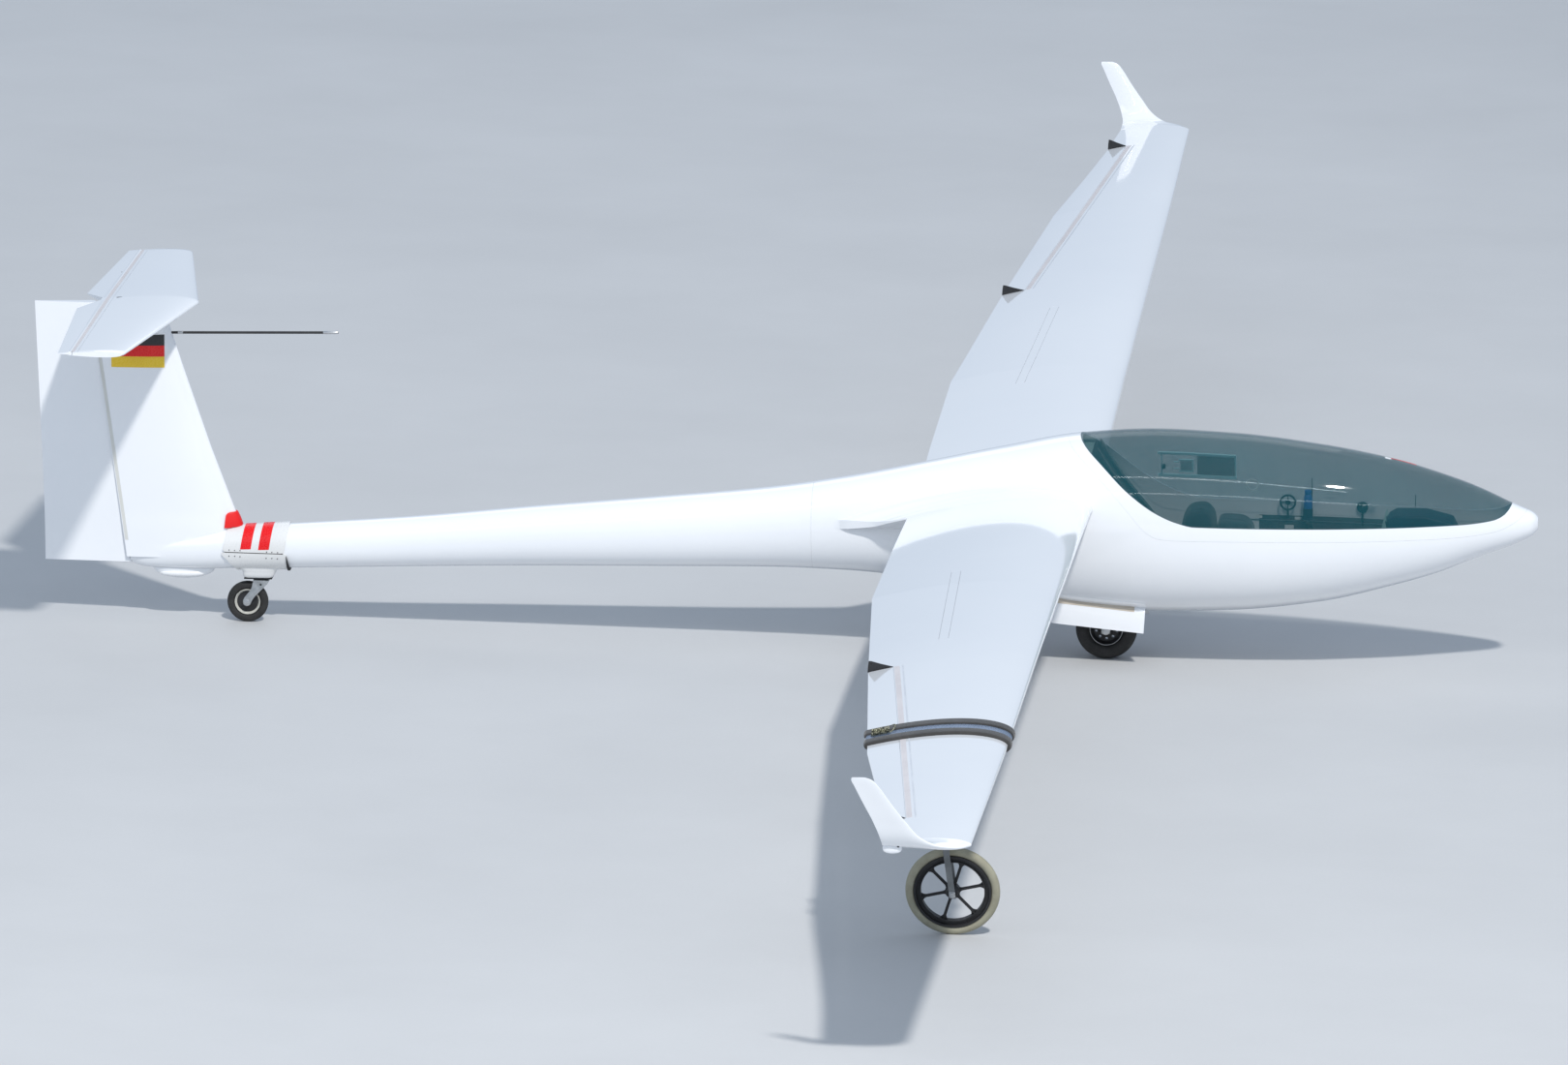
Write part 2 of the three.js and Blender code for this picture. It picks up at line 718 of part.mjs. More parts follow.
// Main wheel with its axle, fork legs and doors.
const tyreProfile = (outer, inner, width) => {
  const w = width / 2;
  return [
    [inner, -w * 0.72],
    [inner + (outer - inner) * 0.3, -w * 0.96],
    [inner + (outer - inner) * 0.62, -w],
    [outer - (outer - inner) * 0.1, -w * 0.8],
    [outer, -w * 0.5],
    [outer, w * 0.5],
    [outer - (outer - inner) * 0.1, w * 0.8],
    [inner + (outer - inner) * 0.62, w],
    [inner + (outer - inner) * 0.3, w * 0.96],
    [inner, w * 0.72],
  ];
};
const mainTyre = turned(tyreProfile(mainRadius, mainRimRadius, mainWidth), mainWheelX, 0, mainRadius, 32);
const holeRing = (count, radius, hole, x, y, z, half) => {
  const list = [];
  for (let i = 0; i < count; i++) {
    const a = (2 * Math.PI * (i + 0.5)) / count;
    const cx = x + radius * Math.cos(a);
    const cz = z + radius * Math.sin(a);
    list.push(bar([cx, y - half, cz], [cx, y + half, cz], hole, 8));
  }
  return wasm.Manifold.union(list);
};
const mainRim = turned(
  [[10.5, -30], [30, -30], [36, -12], [60, -12], [66, -34], [mainRimRadius - 0.4, -34],
    [mainRimRadius - 0.4, 34], [66, 34], [60, 12], [36, 12], [30, 30], [10.5, 30]],
  mainWheelX, 0, mainRadius, 32,
).subtract(holeRing(8, 48, 7, mainWheelX, 0, mainRadius, 60));
const mainAxle = bar([mainWheelX, -78, mainRadius], [mainWheelX, 78, mainRadius], 10, 20);
const legOutline = [
  [mainWheelX - 20, mainRadius - 16],
  [mainWheelX + 20, mainRadius - 16],
  [mainWheelX + 22, mainRadius + 20],
  [mainWheelX + 46, wellTop - seam],
  [mainWheelX - 30, wellTop - seam],
  [mainWheelX - 22, mainRadius + 20],
];
const legLeft = sideSlab(legOutline, 60, 68).subtract(
  bar([mainWheelX, 0, mainRadius], [mainWheelX, 90, mainRadius], 10.3, 20),
);
const doorLeft = loft([
  [[wellFront - 8, 94, 258], [wellFront - 8, 101, 260], [wellFront - 8, 196, 158], [wellFront - 8, 190, 156]],
  [[wellBack + 8, 92, 276], [wellBack + 8, 99, 278], [wellBack + 8, 186, 192], [wellBack + 8, 180, 190]],
]).subtract(hullBetween(1000, 1900, 0.4));

// Tail dolly shells around the boom, lower pad, foam lip and cap against the fin.
const dollyOuter = hullBetween(dollyBack, dollyFront, 1 + dollySkin);
const dollyHole = hullBetween(dollyBack - 5, dollyFront + 5, 1);
const dollyRing = dollyOuter.subtract(dollyHole).subtract(finWhole.translate([6, 0, 0]));
const dollyTop = dollyRing.intersect(block(-2600, -2200, -200, 200, dollySplitZ + seam, 640));
const padBlock = loft([
  [[-2545, -86, 400], [-2262, -86, 400], [-2262, 86, 400], [-2545, 86, 400]],
  [[-2500, -60, 340], [-2300, -60, 340], [-2300, 60, 340], [-2500, 60, 340]],
  [[-2470, -42, 309], [-2325, -42, 309], [-2325, 42, 309], [-2470, 42, 309]],
]).subtract(hullBetween(-2700, -2100, 1));
const dollyLow = dollyRing
  .intersect(block(-2600, -2200, -200, 200, 250, dollySplitZ - seam))
  .add(padBlock);
const foamLip = hullBetween(dollyFront + 0.5, dollyFront + 12, 14)
  .subtract(hullBetween(dollyFront - 5, dollyFront + 20, 1))
  .intersect(block(-2400, -2200, -200, 200, 300, dollySplitZ - 20));

// Padded red cap that grips the fin's nose above the dolly.
const capRing = (z, grow) => finRing(z).map(([x, y]) => [x + grow, y * (1 + grow / 40), z]);
const finCap = loft([554, 600, 606].map((z) => capRing(z, 9)))
  .subtract(loft([400, 540, 600, 900].map((z) => capRing(z, 0.6))))
  .intersect(block(-2552, -2400, -100, 100, 554, 606))
  .subtract(hullBetween(-2700, -2200, 1 + dollySkin + 0.4));

// The castor stands upright on the ground, so it is drawn in level axes from the swivel.
const levelX = (x, z) => (x - mainWheelX) * Math.cos(parkPitch) - z * Math.sin(parkPitch) + frameShiftX;
const levelZ = (x, z) => (x - mainWheelX) * Math.sin(parkPitch) + z * Math.cos(parkPitch);
const swivelX = levelX(-2376, 300);
const axleX = swivelX - 66;
const swivelPlate = block(-2456, -2330, -40, 40, 303, 308.7).add(
  bar([-2376 + 4 * Math.sin(parkPitch), 0, 304], [-2376 - 4 * Math.sin(parkPitch), 0, 296], 26, 24),
);
const forkTop = levelZ(-2376, 300) - 4.4;
const forkCheek = sideSlab(
  [
    [swivelX + 30, forkTop - 4],
    [swivelX + 30, forkTop],
    [swivelX - 40, forkTop],
    [axleX - 20, dollyWheelRadius + 14],
    [axleX - 14, dollyWheelRadius - 14],
    [axleX + 14, dollyWheelRadius - 14],
    [axleX + 24, dollyWheelRadius + 20],
  ],
  29,
  33,
);
const dollyFork = block(swivelX - 40, swivelX + 30, -33, 33, forkTop - 4, forkTop)
  .add(forkCheek)
  .add(mirrored(forkCheek))
  .subtract(bar([axleX, -60, dollyWheelRadius], [axleX, 60, dollyWheelRadius], 6.3, 16));
const dollyAxle = bar([axleX, -38, dollyWheelRadius], [axleX, 38, dollyWheelRadius], 6, 16);
const dollyTyre = turned(tyreProfile(dollyWheelRadius, 58, 42), axleX, 0, dollyWheelRadius, 28);
const dollyRim = turned([[6.4, -22], [18, -22], [20, -8], [50, -8], [57.6, -15], [57.6, 15], [50, 8], [20, 8],
  [18, 22], [6.4, 22]], axleX, 0, dollyWheelRadius, 28);

// Padded cuff around the right wing, parted at the aileron's hinge. The part behind it rides on the aileron.
const cuffRings = (grow, more) =>
  [-cuffHalf - more, 0, cuffHalf + more].map((d) =>
    wingRing(-cuffY + d, grow + 0).map(([x, y, z]) => [x, -y, z]),
  );
const cuffWhole = loft(cuffRings(cuffPad, 0)).subtract(loft(cuffRings(0.6, 20)));
const behindHingeLine = (gap, slope) =>
  loft(
    [-cuffY - cuffHalf - 30, -cuffY + cuffHalf + 30].map((y) => {
      const hx = hingeXAt(y) - gap;
      const top = wingTopAt(hingeXAt(y), y);
      return [
        [hx, -y, top + 60],
        [hx, -y, top],
        [hx - slope * 90, -y, top - 90],
        [hx - 500, -y, top - 90],
        [hx - 500, -y, top + 60],
      ];
    }),
  );
const cuff = cuffWhole.subtract(behindHingeLine(-6, 0));
const strapRear = cuffWhole.intersect(behindHingeLine(6, 0.4));

// Wing wheel: a leaning group whose origin is the wheel's centre.
const standCentreZ = (standWheelRadius - standTube) * Math.cos(standLean) + standTube + 0.3;
const tubeProfile = [];
for (let i = 0; i < 10; i++) {
  const a = (2 * Math.PI * i) / 10;
  tubeProfile.push([standWheelRadius - standTube + standTube * Math.cos(a), standTube * Math.sin(a)]);
}
const standTyre = turned(tubeProfile, 0, 0, 0, 36);
const rimOuter = standWheelRadius - 2 * standTube - 0.5;
const rimRing = turned([[rimOuter - 26, -13], [rimOuter, -17], [rimOuter, 17], [rimOuter - 26, 13]], 0, 0, 0, 36);
const spokes = [];
for (let i = 0; i < 6; i++) {
  const a = (Math.PI * i) / 3 + 0.3;
  const c = Math.cos(a);
  const s = Math.sin(a);
  spokes.push(bar([c * 20, 0, s * 20], [c * (rimOuter - 20), 0, s * (rimOuter - 20)], 11, 8));
}
const hubBarrel = turned([[8.4, -30], [26, -30], [26, 30], [8.4, 30]], 0, 0, 0, 24);
const standRim = wasm.Manifold.union([rimRing, hubBarrel, ...spokes]).subtract(bar([0, -50, 0], [0, 50, 0], 8.4, 20));
const standAxle = bar([0, -52, 0], [0, 52, 0], 8, 16);

const airframe = new THREE.Group();
airframe.rotation.y = -parkPitch;
airframe.position.set(frameShiftX - mainWheelX * Math.cos(parkPitch), 0, -mainWheelX * Math.sin(parkPitch));

// The ground's height at a point, in the airframe's frame.
const groundAt = (x) => -(x - mainWheelX) * Math.tan(parkPitch);
const stand = new THREE.Group();
stand.position.set(standX, standY, groundAt(standX) + standCentreZ);
stand.rotation.x = standLean;
const strutTop = 660;
const strutRake = 74;
const strutSide = (y0) =>
  sideSlab([[-11, -18], [15, -18], [13 - strutRake, strutTop], [-13 - strutRake, strutTop]], y0, y0 + 5);
// Saddle between the strut fork and the cuff.
const wingUnder = (x, y) => 2 * mix(rowAt(wingTable, y)[3], rowAt(wingTable, y)[4], 0.45) - wingTopAt(x, y);
const saddleTop = wingUnder(standX, 5150) + 12;
const saddleUnder = saddleTop - saddleDepth;
const saddle = block(saddleBack, saddleFront, -5362, -5046, saddleUnder, saddleTop + 60).subtract(
  loft(cuffRings(cuffPad + 0.5, 60)),
).subtract(block(saddleBack - 5, saddleFront + 5, -5400, -5000, saddleTop + saddleLip, saddleTop + 80));

// The strut fork leans up to the saddle's flat underside.
const aboveSaddle = new THREE.BoxGeometry(600, 600, 300);
aboveSaddle.translate(standX, standY, saddleUnder - 0.3 + 150);
aboveSaddle.translate(-stand.position.x, -stand.position.y, -stand.position.z);
aboveSaddle.rotateX(-standLean);
const standFork = strutSide(36)
  .add(strutSide(-41))
  .add(sideSlab(
    [[-76, 560], [-50, 560], [13 - strutRake, strutTop], [-13 - strutRake, strutTop]],
    -41,
    41,
  ))
  .subtract(bar([0, -60, 0], [0, 60, 0], 8.3, 16))
  .subtract(solidOf(aboveSaddle));

const level = new THREE.Group();
const add = (group, name, solid, look) => group.add(meshOf(name, solid, look));

add(airframe, "fuselage_pod", pod, looks.white);
add(airframe, "tail_boom_and_fin", tailBody, looks.white);
add(airframe, "canopy_frame", canopyFrame, looks.white);
add(airframe, "canopy_pane", canopyPane, looks.pane);
add(airframe, "seat_pan", seatPan, looks.white);
add(airframe, "seat_backrest", backrest, looks.grey);
add(airframe, "seat_cushion", cushion, looks.grey);
add(airframe, "seat_pack", pack, looks.black);
add(airframe, "cockpit_floor", cockpitFloor, looks.grey);
add(airframe, "rear_deck", rearDeck, looks.aqua);
add(airframe, "instrument_pod", podCase, looks.navy);
add(airframe, "control_stick", stick, looks.black);
for (const [side, keep] of [["left", (s) => s], ["right", mirrored]]) {
  add(airframe, "wing_" + side, keep(wingLeft), looks.white);
  add(airframe, "aileron_" + side, keep(aileronLeft), looks.white);
  add(airframe, "winglet_" + side, keep(wingletLeft), looks.white);
  add(airframe, "airbrake_upper_" + side, keep(brakeUpper), looks.white);
  add(airframe, "airbrake_lower_" + side, keep(brakeLower), looks.white);
  add(airframe, "aileron_plate_inner_" + side, keep(endPlate(aileronInY - plateThick)), looks.black);
  add(airframe, "aileron_plate_outer_" + side, keep(endPlate(aileronOutY)), looks.black);
  add(airframe, "gear_leg_" + side, keep(legLeft), looks.grey);
  add(airframe, "gear_door_" + side, keep(doorLeft), looks.white);
}
add(airframe, "tailplane", tailplane, looks.white);
add(airframe, "elevator", elevator, looks.white);
add(airframe, "rudder", rudderSolid, looks.white);
add(airframe, "tail_skid_fairing", skid, looks.white);
add(airframe, "energy_probe", probe, looks.black);
add(airframe, "main_tyre", mainTyre, looks.rubber);
add(airframe, "main_rim", mainRim, looks.black);
add(airframe, "main_axle", mainAxle, looks.steel);
add(airframe, "dolly_shell_upper", dollyTop, looks.white);
add(airframe, "dolly_shell_lower", dollyLow, looks.white);
add(airframe, "dolly_fin_cap", finCap, looks.red);
add(airframe, "dolly_foam_lip", foamLip, looks.black);
add(airframe, "dolly_swivel_plate", swivelPlate, looks.black);
add(level, "dolly_fork", dollyFork, looks.steel);
add(level, "dolly_axle", dollyAxle, looks.steel);
add(level, "dolly_tyre", dollyTyre, looks.rubber);
add(level, "dolly_rim", dollyRim, looks.cream);
add(airframe, "wing_cuff", cuff, looks.cloth);
add(airframe, "wing_strap_rear", strapRear, looks.cloth);
add(airframe, "wing_wheel_saddle", saddle, looks.black);
add(stand, "wing_wheel_fork", standFork, looks.steel);
add(stand, "wing_wheel_axle", standAxle, looks.steel);
add(stand, "wing_wheel_tyre", standTyre, looks.cream);
add(stand, "wing_wheel_rim", standRim, looks.black);
airframe.add(stand);

const glider = new THREE.Group();
glider.add(airframe, level);

export default glider;
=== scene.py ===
import math
import bmesh
import bpy
import numpy as np
from mathutils import Matrix, Vector


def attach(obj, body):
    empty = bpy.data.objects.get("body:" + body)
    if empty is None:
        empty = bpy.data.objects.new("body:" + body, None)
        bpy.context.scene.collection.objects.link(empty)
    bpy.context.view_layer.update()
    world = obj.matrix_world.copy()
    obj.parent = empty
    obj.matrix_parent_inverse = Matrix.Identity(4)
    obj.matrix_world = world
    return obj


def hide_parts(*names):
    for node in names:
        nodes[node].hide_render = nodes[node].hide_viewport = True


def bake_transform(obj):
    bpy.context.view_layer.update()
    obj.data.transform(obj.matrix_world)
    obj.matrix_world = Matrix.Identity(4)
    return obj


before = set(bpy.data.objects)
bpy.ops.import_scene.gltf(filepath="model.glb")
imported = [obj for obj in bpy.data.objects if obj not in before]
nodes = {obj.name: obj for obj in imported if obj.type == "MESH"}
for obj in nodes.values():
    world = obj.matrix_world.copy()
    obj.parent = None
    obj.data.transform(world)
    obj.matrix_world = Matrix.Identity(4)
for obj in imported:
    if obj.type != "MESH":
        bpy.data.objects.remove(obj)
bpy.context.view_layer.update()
scene = bpy.context.scene
print("stage: frame loaded,", len(nodes), "nodes")

# The airframe's own frame is in millimetres: x forward, y to the left wing, z up from the ground under the
# main wheel. The parked glider is pitched nose up about that wheel.
parked = {"pitch": 0.02566, "wheelX": 1434.0, "shiftX": 1477.4}


def pitched(x, z):
    # Turned by the parking pitch about the main wheel's contact point, and shifted forward
    c, s = math.cos(parked["pitch"]), math.sin(parked["pitch"])
    x = x - parked["wheelX"]
    return x * c - z * s + parked["shiftX"], x * s + z * c


def toRow(spots):
    # From the airframe's own frame to the level one that the glider stands in, in metres
    spots = np.asarray(spots, float)
    x, z = pitched(spots[..., 0], spots[..., 2])
    return np.stack([x, spots[..., 1], z], -1) / 1000


def level(spots):
    # For pieces drawn straight in the level frame: only taken to metres
    return np.asarray(spots, float) / 1000


cameraSet = {
    "turn": -5.17109, "drop": 12.84871, "away": 56.91578, "aimX": -0.01701, "aimZ": 0.54936,
    "roll": -0.003742, "focal": 13109.485, "frameWidth": 1620, "sensor": 36, "farthest": 400,
}


def placeCamera():
    # A view direction from heading and dip, rolled about itself, then pitched with the parked airframe
    heading, dip, roll = math.radians(cameraSet["turn"]), math.radians(cameraSet["drop"]), cameraSet["roll"]
    ahead = Vector((math.sin(heading) * math.cos(dip), math.cos(heading) * math.cos(dip), -math.sin(dip)))
    side = Vector((math.cos(heading), -math.sin(heading), 0))
    over = side.cross(ahead)
    sideRolled = side * math.cos(roll) + over * math.sin(roll)
    overRolled = over * math.cos(roll) - side * math.sin(roll)
    spot = Vector((cameraSet["aimX"], 0, cameraSet["aimZ"])) - ahead * cameraSet["away"]
    pitch = Matrix.Rotation(-parked["pitch"], 3, "Y")
    axes = [pitch @ v for v in (sideRolled, overRolled, -ahead)]
    data = bpy.data.cameras.new("view")
    data.sensor_width = cameraSet["sensor"]
    data.lens = cameraSet["focal"] * cameraSet["sensor"] / cameraSet["frameWidth"]
    data.clip_end = cameraSet["farthest"]
    camera = bpy.data.objects.new("view", data)
    scene.collection.objects.link(camera)
    turned = Matrix([[axes[col][row] for col in range(3)] for row in range(3)]).to_4x4()
    turned.translation = Vector(toRow(np.array(spot) * 1000).tolist())
    camera.matrix_world = turned
    scene.camera = camera


placeCamera()

studio = {
    "sky": (0.66, 0.80, 1.0, 1), "skyStrength": 0.6,
    # Place, aim, size, power, tint, shape. The two strips draw the long reflections on the canopy
    "lights": {
        "keyLight": ((14.1, -37.1, 46.3), (0, -1, 0.5), (3.0, 3.0), 27500, (1.0, 0.975, 0.94), "DISK"),
        "fillLight": ((-12, -14, 9), (0, 0, 0.6), (10, 7), 260, (0.92, 0.96, 1.0), "RECTANGLE"),
        "backLight": ((-3, 16, 12), (0, 0, 0.6), (14, 7), 260, (0.95, 0.97, 1.0), "RECTANGLE"),
        "highStrip": ((0, -16, 17), (1.5, -0.3, 0.7), (16, 0.45), 250, (0.93, 0.97, 1.0), "RECTANGLE"),
        "lowStrip": ((3, -19, 10.5), (1.5, -0.3, 0.7), (12, 0.3), 95, (0.93, 0.97, 1.0), "RECTANGLE"),
    },
}


def setStudio():
    world = bpy.data.worlds.new("studio")
    scene.world = world
    world.use_nodes = True
    sky = world.node_tree.nodes["Background"]
    sky.inputs["Color"].default_value = studio["sky"]
    sky.inputs["Strength"].default_value = studio["skyStrength"]
    for name, (spot, aim, size, power, tint, shape) in studio["lights"].items():
        data = bpy.data.lights.new(name, "AREA")
        data.shape, data.size, data.size_y = shape, size[0], size[1]
        data.energy, data.color = power, tint
        lamp = bpy.data.objects.new(name, data)
        scene.collection.objects.link(lamp)
        lamp.location = spot
        lamp.rotation_euler = (Vector(aim) - Vector(spot)).to_track_quat("-Z", "Y").to_euler()
    scene.view_settings.view_transform = "Standard"


setStudio()


def startMaterial(name):
    stuff = bpy.data.materials.new(name)
    stuff.use_nodes = True
    return stuff, stuff.node_tree, stuff.node_tree.nodes["Principled BSDF"]


def newNode(tree, kind, values=(), first=None):
    # A shader node with these values on its own sockets, and the first socket fed where a source is given
    node = tree.nodes.new("ShaderNode" + kind)
    for socket, value in dict(values).items():
        node.inputs[socket].default_value = value
    if first:
        tree.links.new(first[1], node.inputs[first[0]])
    return node


def onObject(tree, pattern, stretch):
    # Object coordinates, drawn out along the axes by the stretch, lead into the pattern
    where = newNode(tree, "TexCoord")
    place = newNode(tree, "Mapping", {"Scale": stretch}, ("Vector", where.outputs["Object"]))
    tree.links.new(place.outputs["Vector"], pattern.inputs["Vector"])
    return pattern.outputs["Fac"]


def noiseOn(tree, scale, detail=4.0, rough=0.55, stretch=(1, 1, 1)):
    noise = newNode(tree, "TexNoise", {"Scale": scale, "Detail": detail, "Roughness": rough})
    return onObject(tree, noise, stretch)


def banded(tree, scale, distortion, direction="Y"):
    # Parallel bands across one axis of the object's own coordinates
    wave = newNode(tree, "TexWave", {"Scale": scale, "Distortion": distortion})
    wave.bands_direction = direction
    return onObject(tree, wave, (1, 1, 1))


def rampOf(tree, source, stops):
    ramp = newNode(tree, "ValToRGB", (), ("Fac", source))
    while len(ramp.color_ramp.elements) < len(stops):
        ramp.color_ramp.elements.new(0.5)
    for element, (at, colour) in zip(ramp.color_ramp.elements, stops):
        element.position = at
        element.color = (*colour, 1)
    return ramp.outputs["Color"]


def spread(tree, source, low, high, fromLow=0.3, fromHigh=0.7):
    # The source's usual reach, carried over to the low and the high value
    values = {"From Min": fromLow, "From Max": fromHigh, "To Min": low, "To Max": high}
    return newNode(tree, "MapRange", values, ("Value", source)).outputs["Result"]


def bumpFrom(tree, source, strength, distance):
    values = {"Strength": strength, "Distance": distance}
    return newNode(tree, "Bump", values, ("Height", source)).outputs["Normal"]


def mathOf(tree, how, one, two):
    node = newNode(tree, "Math")
    node.operation = how
    tree.links.new(one, node.inputs[0])
    tree.links.new(two, node.inputs[1])
    return node.outputs[0]


def wire(tree, shader, colour, rough, normal):
    # The three sockets that every finish here drives
    for socket, source in (("Base Color", colour), ("Roughness", rough), ("Normal", normal)):
        tree.links.new(source, shader.inputs[socket])


def finish(name, dark, bright, scale, rough, bump, metal=0.0, coat=0.0, fine=None, stretch=(1, 1, 1), sheen=0.0):
    # Two tones mixed by a broad noise, roughness and bump from a finer one
    stuff, tree, shader = startMaterial(name)
    broad = noiseOn(tree, scale, 5.0, 0.6, stretch)
    small = noiseOn(tree, fine or scale * 9, 3.0, 0.6, stretch)
    wire(tree, shader, rampOf(tree, broad, [(0.3, dark), (0.7, bright)]), spread(tree, small, *rough),
         bumpFrom(tree, small, *bump))
    shader.inputs["Metallic"].default_value = metal
    shader.inputs["Coat Weight"].default_value = coat
    shader.inputs["Coat Roughness"].default_value = 0.05
    shader.inputs["Sheen Weight"].default_value = sheen
    return stuff


def glassTint(name, dark, bright, alpha):
    # Thin tinted acrylic: part clear, part a coloured gloss with faint polishing swirls
    stuff, tree, shader = startMaterial(name)
    broad = noiseOn(tree, 2.2, 3.0, 0.5)
    swirl = noiseOn(tree, 60, 3.0, 0.6, (1, 1, 6))
    wire(tree, shader, rampOf(tree, broad, [(0.3, dark), (0.7, bright)]), spread(tree, swirl, 0.015, 0.05),
         bumpFrom(tree, swirl, 0.03, 0.0004))
    shader.inputs["Alpha"].default_value = alpha
    shader.inputs["IOR"].default_value = 1.55
    return stuff


def ribbedFoam(name):
    # Charcoal closed-cell foam with fine ribs along the strap and pale dust in its pores
    stuff, tree, shader = startMaterial(name)
    ribs = banded(tree, 38, 0.6)
    pores = noiseOn(tree, 520, 4.0, 0.65)
    broad = noiseOn(tree, 9, 4.0, 0.6)
    tones = [(0.3, (0.020, 0.019, 0.018)), (0.7, (0.046, 0.043, 0.041))]
    wire(tree, shader, rampOf(tree, broad, tones), spread(tree, pores, 0.75, 0.95),
         bumpFrom(tree, mathOf(tree, "ADD", ribs, pores), 0.5, 0.002))
    shader.inputs["Sheen Weight"].default_value = 0.25
    return stuff


def camoBraid(name):
    # A braided cord in blotches of olive, cream and black, with the braid's fine diagonal relief
    stuff, tree, shader = startMaterial(name)
    blotch = noiseOn(tree, 130, 1.0, 0.4)
    braid = banded(tree, 330, 2.0, "DIAGONAL")
    tones = [(0.38, (0.016, 0.016, 0.014)), (0.47, (0.115, 0.125, 0.070)), (0.56, (0.46, 0.44, 0.31))]
    wire(tree, shader, rampOf(tree, blotch, tones), spread(tree, braid, 0.6, 0.85, 0.0, 1.0),
         bumpFrom(tree, braid, 0.6, 0.0008))
    return stuff


def weave(name, dark, bright, scale):
    # Warp and weft as two crossed sets of bands, multiplied
    stuff, tree, shader = startMaterial(name)
    both = mathOf(tree, "MULTIPLY", banded(tree, scale, 0.4, "Y"), banded(tree, scale * 0.9, 0.4, "X"))
    wire(tree, shader, rampOf(tree, both, [(0.1, dark), (0.8, bright)]), spread(tree, noiseOn(tree, 60), 0.7, 0.9),
         bumpFrom(tree, both, 0.5, 0.0008))
    shader.inputs["Sheen Weight"].default_value = 0.3
    return stuff


